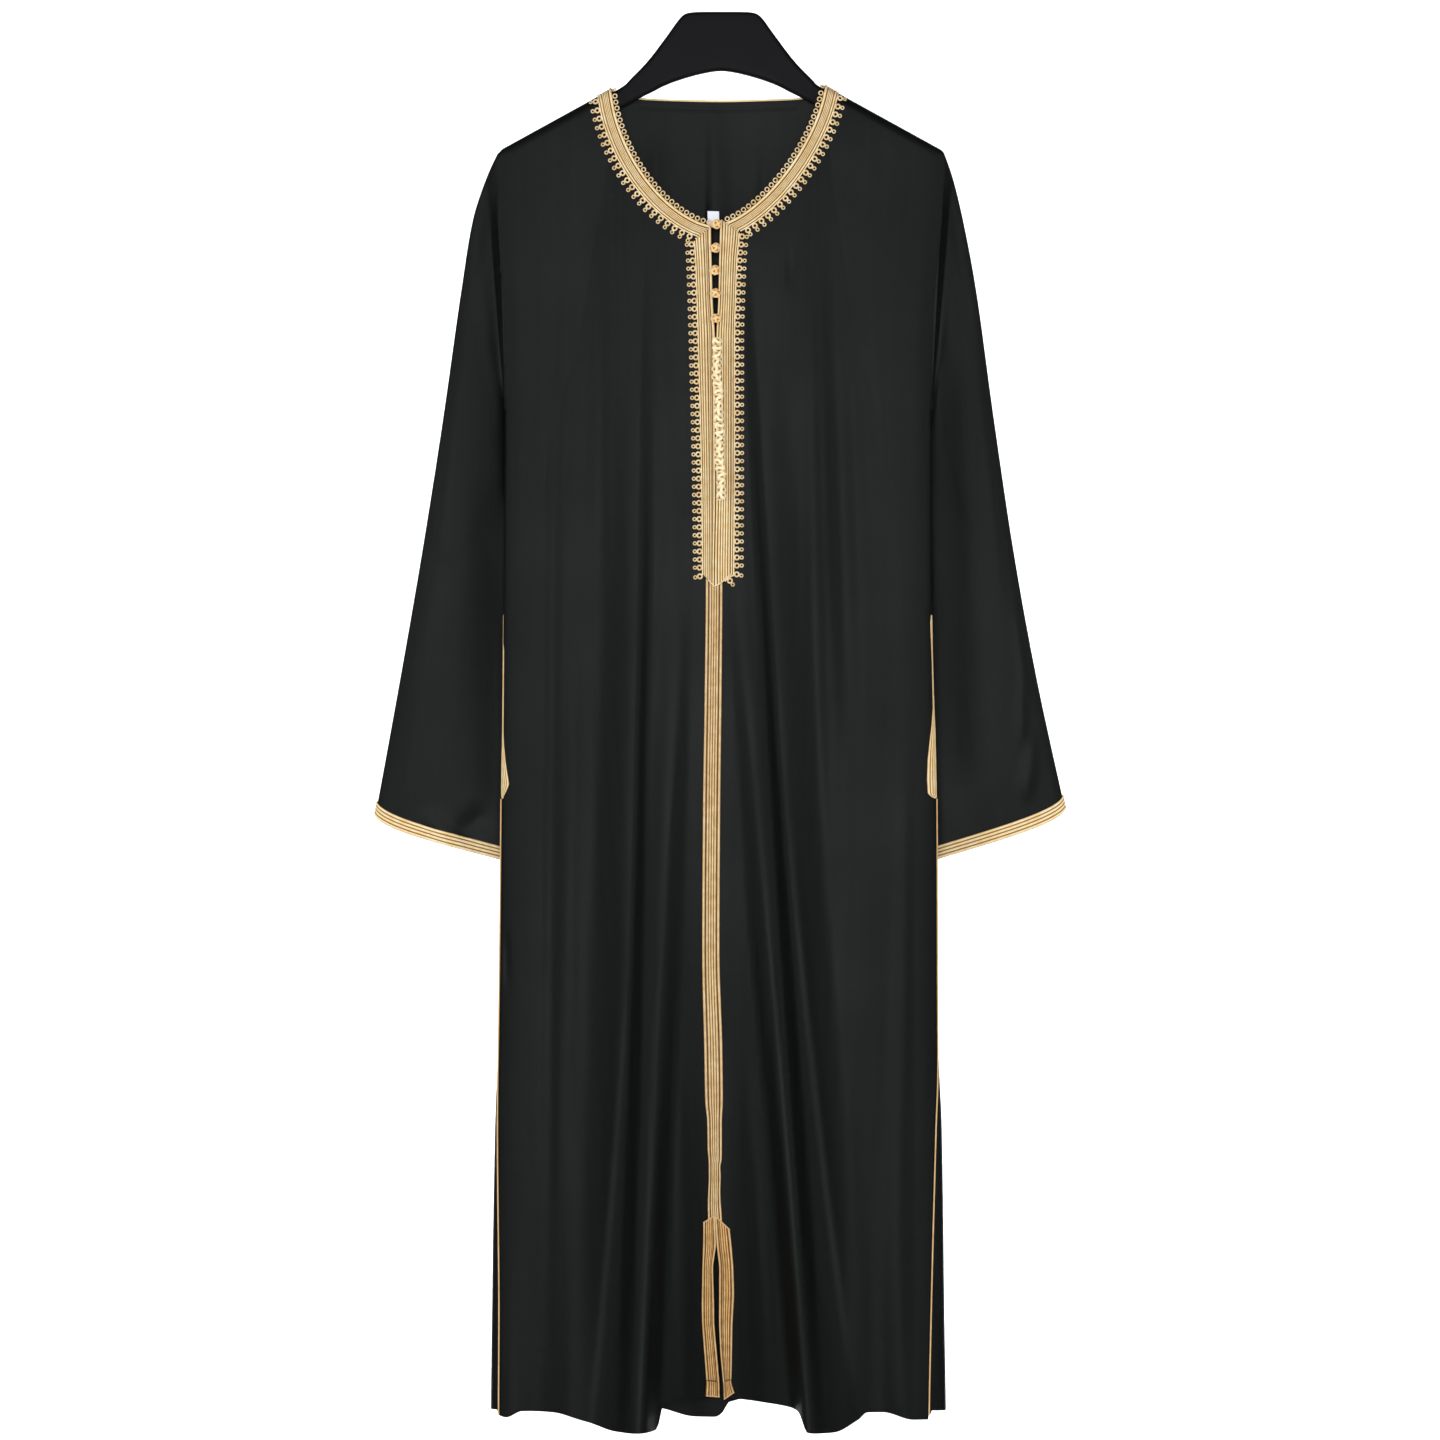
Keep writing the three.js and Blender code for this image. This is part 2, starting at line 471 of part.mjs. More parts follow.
// The back, in one piece.  Columns run from the left side round the back to the right side.
function backPanel() {
  const columns = 2 * SHOULDER_COLUMNS + BACK_NECK_COLUMNS;
  const armLeft = read(BODY, "z", ARMHOLE.top, "left");
  const armRight = read(BODY, "z", ARMHOLE.top, "right");
  const tops = [];
  for (let i = 0; i <= SHOULDER_COLUMNS; i += 1) {
    const x = lerp(armLeft, NECK_X.left, i / SHOULDER_COLUMNS);
    tops.push({ x, z: shoulderZ(x) });
  }
  for (let i = 1; i < BACK_NECK_COLUMNS; i += 1) {
    const w = i / BACK_NECK_COLUMNS;
    const x = lerp(NECK_X.left, NECK_X.right, w - (0.5 * Math.sin(2 * Math.PI * w)) / (2 * Math.PI));
    tops.push({ x, z: read(BACK_NECK, "x", x, "z") });
  }
  for (let i = 0; i <= SHOULDER_COLUMNS; i += 1) {
    const x = lerp(NECK_X.right, armRight, i / SHOULDER_COLUMNS);
    tops.push({ x, z: shoulderZ(x) });
  }
  tops[0].z = ARMHOLE.top;
  tops[columns].z = ARMHOLE.top;
  const shareAtTop = tops.map(({ x, z }) => {
    const [from, to] = [backEdge("left", z), backEdge("right", z)];
    return clamp01((angleOfX(x, z) - from) / (to - from));
  });
  shareAtTop[0] = 0;
  shareAtTop[columns] = 1;
  const place = (i, z, fraction) => {
    const w = i / columns;
    const even = w + (COLUMN_CROWDING * Math.sin(2 * Math.PI * w)) / (2 * Math.PI);
    const share = lerp(shareAtTop[i], even, smooth(fraction * SHARES_SETTLE));
    return lerp(backEdge("left", z), backEdge("right", z), share);
  };
  const hemAt = (i) => {
    if (i === 0 || i === columns) return SIDE_HEM_Z;
    return read(BACK_HEM, "x", bodyPoint(place(i, SIDE_HEM_Z, 1), SIDE_HEM_Z).x, "z");
  };
  const onShoulder = (i) => i <= SHOULDER_COLUMNS || i >= columns - SHOULDER_COLUMNS;
  return panelOf(columns, onShoulder, (i, j) => {
    const z = lerp(tops[i].z, hemAt(i), ROWS[j]);
    return { angle: place(i, z, ROWS[j]), z };
  });
}

// One sleeve: a flattened tube.  Its first ring is the armhole, down the front edge and up the back edge.
function sleevePanel(side, front, back) {
  const sign = side === "left" ? -1 : 1;
  const table = SLEEVES[side];
  const around = 2 * ARMHOLE_ROWS;
  const backColumn = side === "left" ? back.points[0] : back.points[back.points.length - 1];
  const armhole = (i) => {
    const row = i <= ARMHOLE_ROWS ? i : around - i;
    const edge = (i <= ARMHOLE_ROWS ? front.points[0] : backColumn)[row].clone();
    if (row === 0) edge.y = 0;
    edge.x += sign * SEAM_GAP;
    if (row === ARMHOLE_ROWS) edge.x += sign * SEAM_GAP;
    return edge;
  };
  const points = gridOf(around - 1, SLEEVE_ROWS, (i, j) => {
    const along = (j / SLEEVE_ROWS) ** SLEEVE_CROWDING;
    const row = i <= ARMHOLE_ROWS ? i : around - i;
    const ring = armhole(i);
    if (j === 0) return ring;
    const across = (row / ARMHOLE_ROWS) ** ROW_CROWDING;
    const spread = lerp(across, (1 - Math.cos((Math.PI * row) / ARMHOLE_ROWS)) / 2, smooth(along * 3));
    const get = (name) => read(table, "along", along, name);
    const x = sign * lerp(get("outerX"), get("innerX"), spread);
    const z = lerp(get("outerZ"), get("innerZ"), spread);
    const puff = SLEEVE_HALF_DEPTH * Math.sqrt(Math.max(0, Math.sin(Math.PI * spread)));
    const hang = lerp(get("outerBack"), get("innerBack"), spread);
    const y = hang + (i <= ARMHOLE_ROWS ? -puff : puff);
    const settle = smooth(along / 0.14);
    return new THREE.Vector3(x, lerp(ring.y, y, settle), z);
  });
  const normals = tubeNormals(points, (i) => {
    const row = i <= ARMHOLE_ROWS ? i : around - i;
    if (row === 0) return new THREE.Vector3(sign, 0, 0.6);
    if (row === ARMHOLE_ROWS) return new THREE.Vector3(-sign, 0, -0.6);
    return i < ARMHOLE_ROWS ? FACE_FRONT : FACE_BACK;
  });
  normals.forEach((line, i) => {
    if (i % ARMHOLE_ROWS === 0) line[0].set(0, 0, i === 0 ? 1 : -1);
    line[0].setX(0).normalize();
  });
  return { points, normals };
}

// The front or the back half of a sleeve.  One seam runs along the upper fold, and the other just behind
// the lower fold, so that the front half turns round it.
function sleeveHalf({ points, normals }, face) {
  const seam = ARMHOLE_ROWS + 1;
  const [first, last] = face === "front" ? [0, seam] : [seam, points.length];
  const columns = Array.from({ length: last - first + 1 }, (_, i) => (first + i) % points.length);
  const half = columns.map((i) => points[i].map((point) => point.clone()));
  const end = columns.length - 1;
  for (const [edge, next] of [[0, 1], [end, end - 1]])
    half[edge].forEach((point, j) => {
      const inward = half[next][j].clone().sub(point).normalize();
      point.addScaledVector(inward, SEAM_GAP / 2);
    });
  return { points: half, normals: columns.map((i) => normals[i]) };
}

// ---------------------------------------------------------------- trims that lie on the panels
// The point and normal of a panel's faceted outside at (x, z), or at its nearest facet.
function onPanel(panel, x, z) {
  const { points, normals } = panel;
  let best = null;
  const corners = (i, j) => [[i, j], [i + 1, j], [i + 1, j + 1], [i, j + 1]];
  for (let i = 0; i < points.length - 1; i += 1)
    for (let j = 0; j < points[i].length - 1; j += 1)
      for (const pick of [[0, 1, 2], [0, 2, 3]]) {
        const ids = pick.map((n) => corners(i, j)[n]);
        const [a, b, c] = ids.map(([p, q]) => points[p][q]);
        const area = (b.x - a.x) * (c.z - a.z) - (c.x - a.x) * (b.z - a.z);
        if (Math.abs(area) < 1e-6) continue;
        const v = ((x - a.x) * (c.z - a.z) - (c.x - a.x) * (z - a.z)) / area;
        const w = ((b.x - a.x) * (z - a.z) - (x - a.x) * (b.z - a.z)) / area;
        const weights = [1 - v - w, v, w];
        const outside = -Math.min(0, ...weights);
        if (best && outside >= best.outside) continue;
        best = { outside, weights, ids };
      }
  const blend = (list) => {
    const sum = new THREE.Vector3();
    best.ids.forEach(([p, q], n) => sum.addScaledVector(list[p][q], best.weights[n]));
    return sum;
  };
  return { point: blend(points), normal: blend(normals).normalize() };
}

// A flat strip on panels.  stations are pairs of edge points {x, z}, and sample gives where the cloth under
// a point is read.  The strip lies near away from the cloth's outside, on its face or behind it.
function strip(stations, panels, across, near, thickness, options = {}) {
  const sample = options.sample ?? ((at) => at);
  const behind = options.behind ?? false;
  const cells = gridOf(across, stations.length - 1, (i, j) => {
    const [a, b] = stations[j];
    const at = { x: lerp(a.x, b.x, i / across), z: lerp(a.z, b.z, i / across) };
    const from = sample(at, j, i / across);
    const { point, normal } = onPanel(panels[i <= across / 2 ? 0 : panels.length - 1], from.x, from.z);
    const lift = normal.setX(0).normalize();
    return { point: new THREE.Vector3(at.x, point.y, at.z), lift: behind ? lift.negate() : lift };
  });
  const points = cells.map((line) => line.map(({ point }) => point));
  const lifts = cells.map((line) => line.map(({ lift }) => lift));
  return wall(points, lifts, near, near + thickness);
}

const stationsBetween = (count, make) => Array.from({ length: count + 1 }, (_, k) => make(k / count));

// A round cord through points, with a section of flat sides.
function cord(path, radius, sides = 6, steps = path.length - 1) {
  const circle = new THREE.Shape();
  for (let k = 0; k < sides; k += 1) {
    const angle = (2 * Math.PI * k) / sides;
    circle[k ? "lineTo" : "moveTo"](radius * Math.cos(angle), radius * Math.sin(angle));
  }
  circle.closePath();
  const curve = new THREE.CatmullRomCurve3(path);
  const along = { steps, bevelEnabled: false, extrudePath: curve, curveSegments: 1 };
  return new THREE.ExtrudeGeometry(circle, along);
}

// ---------------------------------------------------------------- materials
const cloth = () => new THREE.MeshStandardMaterial({ color: 0x232426, roughness: 0.45, metalness: 0 });
const gold = () => new THREE.MeshStandardMaterial({ color: 0xd8b478, roughness: 0.5, metalness: 0.2 });
const knot = () => new THREE.MeshStandardMaterial({ color: 0xc8923c, roughness: 0.35, metalness: 0.4 });
const plastic = () => new THREE.MeshStandardMaterial({ color: 0x202123, roughness: 0.4, metalness: 0 });
const tape = () => new THREE.MeshStandardMaterial({ color: 0xe2e4ee, roughness: 0.6, metalness: 0 });

const robe = new THREE.Group();
function add(name, geometry, material) {
  const mesh = new THREE.Mesh(geometry, material);
  mesh.name = name;
  robe.add(mesh);
  return mesh;
}

// ---------------------------------------------------------------- the robe
const fronts = { left: frontPanel("left"), right: frontPanel("right") };
const back = backPanel();
const sleeves = {};
for (const side of ["left", "right"]) {
  sleeves[side] = sleevePanel(side, fronts[side], back);
  add("front_" + side, wall(fronts[side].points, fronts[side].normals, 0, -CLOTH), cloth());
  for (const face of ["front", "back"]) {
    const half = sleeveHalf(sleeves[side], face);
    add(`sleeve_${side}_${face}`, wall(half.points, half.normals, 0, -CLOTH), cloth());
  }
}
add("back", wall(back.points, back.normals, 0, -CLOTH), cloth());

// Neck: braid, looped edging inside it and scalloped edging outside it.  Each follows the neck path from
// one turn of it to another, at two offsets.
// The turn of the neck path at which a lane has come far enough below the shoulder line.
function turnBelowShoulder(side, offset) {
  const step = 0.002;
  let turn = 10 * step;
  const tooHigh = ({ x, z }) => z > shoulderZ(x) - NECK_START;
  while (tooHigh(neckPoint(side, turn, Math.max(NECK_BAND.cloth, offset)))) turn += step;
  return turn;
}
const RINGS_FROM = NECK_BAND.braidOut + SCALLOP.gap;
const NECK_LANES = [
  { kind: "braid", from: NECK_BAND.braidIn, to: NECK_BAND.braidOut, ends: [0.955, 0.872], wall: BRAID },
  { kind: "picots", from: NECK_BAND.picotIn, to: NECK_BAND.picotOut, ends: [0.955, 0.955], wall: LACE },
  { kind: "scallops", from: RINGS_FROM, to: RINGS_FROM + SCALLOP.reach, ends: [0.845, 0.845], wall: LACE },
];
for (const side of ["left", "right"])
  for (const { kind, from, to, ends, wall: thickness } of NECK_LANES) {
    const offsets = [from, to];
    const starts = offsets.map((offset) => turnBelowShoulder(side, offset));
    const turnAt = (edge, t) => lerp(starts[edge], ends[edge], t ** 1.3);
    const lane = stationsBetween(NECK_STEPS, (t) =>
      [0, 1].map((edge) => neckPoint(side, turnAt(edge, t), offsets[edge])));
    // The edge of the cloth is where a trim that stands past it takes its depth from.
    const sample = (at, j, w) => {
      const t = j / NECK_STEPS;
      const offset = Math.max(NECK_BAND.cloth + 0.2, lerp(offsets[0], offsets[1], w));
      return neckPoint(side, lerp(turnAt(0, t), turnAt(1, t), w), offset);
    };
    const across = kind === "picots" ? 1 : 3;
    add("neck_" + kind + "_" + side,
      strip(lane, [fronts[side]], across, TRIM_LIFT, thickness, { sample }), gold());
  }

// The back neck's braid stands a little above the cloth's edge, and a facing lines that edge inside.
const backNeckLane = (from, to, above, below) =>
  stationsBetween(BRAID_STEPS, (t) => {
    const x = lerp(from, to, t);
    const z = read(BACK_NECK, "x", x, "z");
    return [{ x, z: z + above }, { x, z: z - below }];
  });
const underEdge = (at) => ({
  x: at.x,
  z: Math.min(at.z, read(BACK_NECK, "x", at.x, "z") - UNDER_EDGE),
});
const backBraid = backNeckLane(BACK_BRAID.from, BACK_BRAID.to, BACK_BRAID.above, BACK_BRAID.below);
add("neck_braid_back", strip(backBraid, [back], 1, TRIM_LIFT, BRAID, { sample: underEdge }), gold());
const facing = backNeckLane(FACING.from, FACING.to, -FACING.start, FACING.start + FACING.depth);
const insideEdge = { sample: underEdge, behind: true };
add("neck_facing_back", strip(facing, [back], 1, CLOTH + TRIM_LIFT, LACE, insideEdge), cloth());

// Placket braids and their scalloped edging, down to the point.
const PLACKET_MITRE = 9; // how much lower the braid starts at its outer edge
const POINT_SHOULDER = 0.6; // how far down and in the point's slanted end is turned
for (const side of ["left", "right"]) {
  const table = PLACKET[side];
  const top = table[0].z;
  const bottom = table[table.length - 1].z;
  const aside = side === "left" ? -1 : 1;
  const edges = (z) => [{ x: read(table, "z", z, "out"), z }, { x: read(table, "z", z, "in"), z }];
  const braid = stationsBetween(PLACKET_STEPS, (t) => edges(lerp(top, bottom, t)));
  braid[0][0].z -= PLACKET_MITRE;
  const [outer, inner] = edges(bottom);
  braid.push([
    { x: lerp(outer.x, inner.x, POINT_SHOULDER), z: lerp(bottom, PLACKET.pointZ, POINT_SHOULDER) },
    { x: inner.x, z: PLACKET.pointZ },
  ]);
  add("placket_braid_" + side, strip(braid, [fronts[side]], 1, TRIM_LIFT, BRAID), gold());
  const lace = stationsBetween(PLACKET_STEPS - 2, (t) => {
    const z = lerp(top - PLACKET_MITRE - SCALLOP.belowMitre, bottom + SCALLOP.aboveEnd, t);
    const edge = read(table, "z", z, "out") + aside * SCALLOP.gap;
    return [{ x: edge, z }, { x: edge + aside * SCALLOP.reach, z }];
  });
  add("placket_scallops_" + side, strip(lace, [fronts[side]], 1, TRIM_LIFT, LACE), gold());
}

// Buttons in the neck slit and the column of woven knots below it, on the placket braids.
const braidFace = (side, x, z) => onPanel(fronts[side], x, z).point.y - TRIM_LIFT - BRAID;
BUTTONS.forEach(({ z, aside }, k) => {
  const edges = { left: read(PLACKET.left, "z", z, "in"), right: read(PLACKET.right, "z", z, "in") };
  const x = (edges.left + edges.right) / 2 + aside;
  const side = edges.right - x < x - edges.left ? "right" : "left";
  const toEdge = Math.abs(edges[side] - x);
  const y = braidFace(side, edges[side], z) - Math.sqrt((BUTTON_RADIUS + REST_GAP) ** 2 - toEdge ** 2);
  add("button_" + (k + 1), new THREE.IcosahedronGeometry(BUTTON_RADIUS, 1).translate(x, y, z), knot());
});
const knotPath = stationsBetween(KNOT_STEPS / 2 + 1, (t) => {
  const z = lerp(KNOTS.top, KNOTS.bottom, t);
  const face = Math.min(braidFace("left", KNOTS_BEAR.left, z), braidFace("right", KNOTS_BEAR.right, z));
  const y = face - REST_GAP - KNOTS.radius;
  return new THREE.Vector3(lerp(KNOTS.xTop, KNOTS.xBottom, t), y, z);
});
add("knot_column", cord(knotPath, KNOTS.radius, 8, KNOT_STEPS), knot());

// Centre-front braid, from the placket's point to the hem slit, and the braids of the hem slit.
const centreBraid = stationsBetween(BRAID_STEPS, (t) => {
  const z = lerp(CENTRE_BRAID[0].z, CENTRE_BRAID[CENTRE_BRAID.length - 1].z, t);
  return [{ x: read(CENTRE_BRAID, "z", z, "left"), z }, { x: read(CENTRE_BRAID, "z", z, "right"), z }];
});
add("front_braid", strip(centreBraid, [fronts.left, fronts.right], 1, TRIM_LIFT, BRAID), gold());
for (const side of ["left", "right"]) {
  const leg = HEM_SLIT[side].map((row) => [
    { x: row.out[0], z: row.out[1] },
    { x: row.in[0], z: row.in[1] },
  ]);
  add("hem_slit_braid_" + side, strip(leg, [fronts[side]], 1, TRIM_LIFT, BRAID), gold());
}

// ---------------------------------------------------------------- trims on the panels' own grid lines
// Part of a panel between two of its columns and two heights.
function patch(panel, fromColumn, toColumn, top, bottom) {
  const columns = [];
  for (let i = fromColumn; i <= toColumn; i += 1) {
    const line = panel.points[i];
    const rowAt = (z) => {
      let j = 0;
      while (j < line.length - 2 && line[j + 1].z > z) j += 1;
      return j + (line[j].z - z) / (line[j].z - line[j + 1].z);
    };
    columns.push({ i, first: rowAt(top), last: rowAt(bottom) });
  }
  const from = Math.max(...columns.map((c) => Math.floor(c.first))) + 1;
  const to = Math.min(...columns.map((c) => Math.ceil(c.last))) - 1;
  const pick = (list, i, j) => {
    const low = Math.min(list[i].length - 2, Math.floor(j));
    return list[i][low].clone().lerp(list[i][low + 1], j - low);
  };
  const rowsOf = (c) => [c.first, ...Array.from({ length: to - from + 1 }, (_, k) => from + k), c.last];
  return {
    points: columns.map((c) => rowsOf(c).map((j) => pick(panel.points, c.i, j))),
    normals: columns.map((c) => rowsOf(c).map((j) => pick(panel.normals, c.i, j).normalize())),
  };
}

const lastBack = back.points.length - 1;
for (const side of ["left", "right"]) {
  const [a, b] = side === "left" ? [0, 1] : [lastBack - 1, lastBack];
  const inFront = patch(fronts[side], 0, 3, POCKET_SLIT.top, POCKET_SLIT.bottom);
  const behind = patch(back, a, b, POCKET_SLIT.top, POCKET_SLIT.bottom);
  for (const [name, piece] of [["front", inFront], ["back", behind]]) {
    const braid = wall(piece.points, piece.normals, REST_GAP, REST_GAP + BRAID);
    add("pocket_braid_" + name + "_" + side, braid, gold());
  }
  const seam = patch(fronts[side], 0, 0, PIPING.top, SIDE_HEM_Z);
  const path = seam.points[0].map((p, k) =>
    p.clone().addScaledVector(seam.normals[0][k], PIPING.radius + REST_GAP));
  add("side_piping_" + side, cord(path, PIPING.radius), gold());
  // The cuff's braid goes round the last of the sleeve.
  const { points, normals } = sleeves[side];
  const end = points[0].length - 1;
  const band = (list) => list.map((line, i) => {
    const length = points[i][end].distanceTo(points[i][end - 1]);
    return [line[end].clone().lerp(line[end - 1], CUFF_BRAID_WIDTH / length), line[end].clone()];
  });
  add("cuff_braid_" + side, wall(band(points), band(normals), REST_GAP, REST_GAP + BRAID, true), gold());
}

// A blank size label behind the left edge of the neck slit.
const label = [LABEL.top, LABEL.bottom].map((z) => [
  { x: LABEL.x - LABEL.width / 2, z },
  { x: LABEL.x + LABEL.width / 2, z },
]);
const labelBack = { sample: () => ({ x: LABEL.bearX, z: LABEL.bottom }), behind: true };
const labelGap = CLOTH + REST_GAP;
add("size_label", strip(label, [fronts.left], 1, labelGap, LABEL.thickness, labelBack), tape());

// ---------------------------------------------------------------- the hanger
// Its outline is the neck, the sloping arms that follow the shoulder line, and the arch below.
const armTop = (x) => shoulderZ(x) - HANGER.armClear;
const half = [
  ...HANGER.neck.map(({ x, z }) => [x, z]),
  [HANGER.armFrom, armTop(HANGER.armFrom)],
  [HANGER.tip - HANGER.tipCorner, armTop(HANGER.tip - HANGER.tipCorner)],
  [HANGER.tip, armTop(HANGER.tip) - HANGER.tipCorner],
  [HANGER.tip, armTop(HANGER.tip) - HANGER.tipDrop],
  [HANGER.tip - HANGER.tipCorner, armTop(HANGER.tip) - HANGER.tipDrop - HANGER.tipCorner / 2],
  ...HANGER.arch.slice().reverse().map(({ x, z }) => [x, z]),
];
const outline = new THREE.Shape();
const inset = HANGER.bevel;
half.forEach(([x, z], k) => outline[k ? "lineTo" : "moveTo"](x, z));
half.slice(1, -1).reverse().forEach(([x, z]) => outline.lineTo(-x, z));
outline.closePath();
const body = new THREE.ExtrudeGeometry(outline, {
  depth: HANGER.thickness - 2 * inset,
  bevelEnabled: true,
  bevelThickness: inset,
  bevelSize: inset,
  bevelOffset: -inset,
  bevelSegments: 2,
  curveSegments: 1,
});
body.translate(0, 0, -HANGER.thickness / 2 + inset);
body.rotateX(Math.PI / 2);
add("hanger", body, plastic());

export default robe;
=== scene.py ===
"""A long pull-on robe that hangs on a shoulder hanger, with gold braid, looped edging and woven knots.

Sizes and places are in millimetres in the row frame (x to the right sleeve, y from front to back, z up),
and each piece is turned into metres when its mesh is made.
"""

import logging
import math
from abc import ABC, abstractmethod
from dataclasses import dataclass
from enum import Enum
from typing import Callable, ClassVar, NamedTuple, Sequence

import bpy
import numpy as np
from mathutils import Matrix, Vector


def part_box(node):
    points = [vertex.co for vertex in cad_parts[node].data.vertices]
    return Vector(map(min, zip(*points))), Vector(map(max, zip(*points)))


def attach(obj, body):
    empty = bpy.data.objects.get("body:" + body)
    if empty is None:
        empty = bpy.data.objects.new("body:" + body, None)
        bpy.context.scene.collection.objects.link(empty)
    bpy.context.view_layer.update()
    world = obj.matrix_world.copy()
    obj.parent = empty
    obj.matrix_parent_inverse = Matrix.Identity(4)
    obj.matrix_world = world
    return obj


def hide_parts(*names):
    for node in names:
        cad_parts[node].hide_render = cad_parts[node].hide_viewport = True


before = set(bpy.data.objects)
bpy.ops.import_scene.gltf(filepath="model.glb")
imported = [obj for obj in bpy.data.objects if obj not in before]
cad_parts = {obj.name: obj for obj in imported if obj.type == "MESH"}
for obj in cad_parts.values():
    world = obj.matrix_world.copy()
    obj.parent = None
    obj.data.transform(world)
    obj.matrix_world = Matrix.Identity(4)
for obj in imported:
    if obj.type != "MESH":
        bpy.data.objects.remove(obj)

LOG = logging.getLogger("robe")
MM = 0.001  # metres in a millimetre
PI = math.pi
Array = np.ndarray
Number = Array | float
Pair = tuple[float, float]
Arrays = tuple[Array, Array]  # two matched arrays, such as points and their normals
Piece = bpy.types.Object
Socket = bpy.types.NodeSocket


class Side(Enum):
    """A side of the robe as it is seen from the front; the value is the sign of x."""

    LEFT = -1
    RIGHT = 1

    @property
    def word(self) -> str:
        """The side's name in the names of nodes and table columns."""
        return self.name.lower()


def link(thing: Piece) -> Piece:
    """Puts an object into the scene."""
    bpy.context.scene.collection.objects.link(thing)
    return thing


def table(kind: type, *rows: tuple) -> tuple:
    """A table's rows, each made from its plain numbers."""
    return tuple(kind(*row) for row in rows)


# ---- the robe's form
class BodyRow(NamedTuple):
    """One height of the body: its edges, its depth in front and behind, and its side seams' angles."""

    z: float
    left: float
    right: float
    front: float
    back: float
    lap_left: float
    lap_right: float


BODY_ROWS = table(
    BodyRow,
    (-60, -213, 214, 12, 12, 0.07, 0.07),
    (-132, -213, 214, 14, 14, 0.07, 0.07),
    (-192, -214, 212, 15, 14, 0.07, 0.07),
    (-291, -208.5, 204, 17, 15, 0.07, 0.07),
    (-382, -207.5, 202, 18, 16, 0.07, 0.07),
    (-564, -209, 202.5, 19, 17, 0.08, 0.08),
    (-756, -211, 207, 21, 19, 0.1, 0.1),
    (-987, -214, 208.5, 24, 22, 0.12, 0.12),
    (-1073, -217, 212, 26, 23, 0.18, 0.25),
    (-1256, -220, 214.5, 29, 25, 0.27, 0.36),
    (-1362, -221, 216, 31, 26, 0.28, 0.4),
)


class EdgeRow(NamedTuple):
    """A left and a right edge at one height."""

    z: float
    left: float
    right: float


# The inner edges of the two front halves.
CENTRE_ROWS = table(
    EdgeRow,
    (-195, -9.3, -1.2), (-240, -8.6, -1.9), (-277, -7.7, -2.6),
    (-319, -5.2, -4.4), (-468, -5, -4.6), (-564, -6.7, -6.3),
    (-756, -8.8, -8.4), (-900, -9.8, -9.4), (-996, -7.4, -7),
    (-1128, -7, -6.6), (-1183, -4.7, -3.9), (-1203, -8.2, -1.9),
    (-1258, -6.9, -2.2), (-1287, -4.2, -0.8), (-1362, -1.5, 1.7),
)


class Fold(NamedTuple):
    """A fold from its top to its foot: heights, places, half widths, reach outwards, lean and drift."""

    z: Pair
    x: Pair
    left: Pair
    right: Pair
    out: tuple[float, float, float]
    lean: float = 0.0
    bend: float = 1.0


FRONT_FOLDS = table(
    Fold,
    ((-219, -1420), (-76, -104), (40, 48), (14, 15), (0, -13, -4), 0, 1.6),
    ((-488, -1420), (-35, -84), (16, 50), (15, 26), (0, 11, 33), 4),
    ((-230, -1300), (-158, -167), (10, 12), (10, 12), (0, -2, 0)),
    ((-1050, -1420), (-168, -174), (30, 34), (30, 34), (0, -3, -8)),
    ((-526, -1420), (-8, 7), (38, 70), (38, 70), (0, -7, -32)),
    ((-228, -1420), (31, 108), (13, 15), (38, 46), (0, -13, -4), 0, 1.2),
    ((-449, -1420), (7, 92), (15, 20), (16, 50), (0, 11, 34), -4),
    ((-200, -720), (106, 124), (16, 18), (16, 18), (0, -4, 0)),
    ((-1050, -1420), (140, 150), (26, 32), (26, 32), (0, -4, -10)),
)
# Small creases of the front that only the finished cloth shows.
FRONT_CREASES = table(
    Fold,
    ((-226, -266), (67, 65), (7, 5), (5, 7), (0, -1.0, 0)),
    ((-405, -420), (-36, -38), (4, 3), (3, 4), (0, -1.2, 0)),
    ((-470, -486), (-31, -35), (4, 3), (3, 4), (0, -1.2, 0)),
    ((-800, -1075), (25, 52), (5, 9), (3, 4), (0, 2.2, 0.4), 0, 0.9),
    ((-200, -560), (-116, -120), (12, 14), (12, 14), (0, 1.6, 0)),
    ((-230, -900), (84, 96), (9, 14), (9, 14), (0, 1.8, 0)),
    ((-236, -520), (-70, -72), (6, 8), (6, 8), (0, 1.2, 0)),
    ((-880, -940), (-206, -205), (5, 5), (6, 6), (0, -1.4, 0)),
    ((-560, -1150), (-140, -150), (12, 16), (12, 16), (0, 1.8, 0)),
    ((-700, -1340), (176, 168), (12, 18), (12, 18), (0, 1.6, 0.4)),
    ((-1000, -1400), (-40, -32), (9, 14), (9, 14), (0, 1.6, 1.0)),
    ((-1000, -1400), (24, 46), (9, 14), (9, 14), (0, 1.6, 1.0)),
)
BACK_FOLDS = table(
    Fold,
    ((-112, -760), (-12, -14), (22, 26), (20, 24), (0, 2.4, 0)),
    ((-330, -1420), (-70, -96), (26, 40), (22, 34), (0, 8, 26), 5),
    ((-300, -1420), (72, 84), (24, 36), (26, 42), (0, 7, 24), -5),
    ((-520, -1420), (-10, -4), (22, 40), (22, 40), (0, -4, -7)),
    ((-560, -1420), (-150, -158), (18, 26), (18, 26), (0, -3, -6)),
    ((-560, -1420), (142, 152), (18, 26), (18, 26), (0, -3, -6)),
)
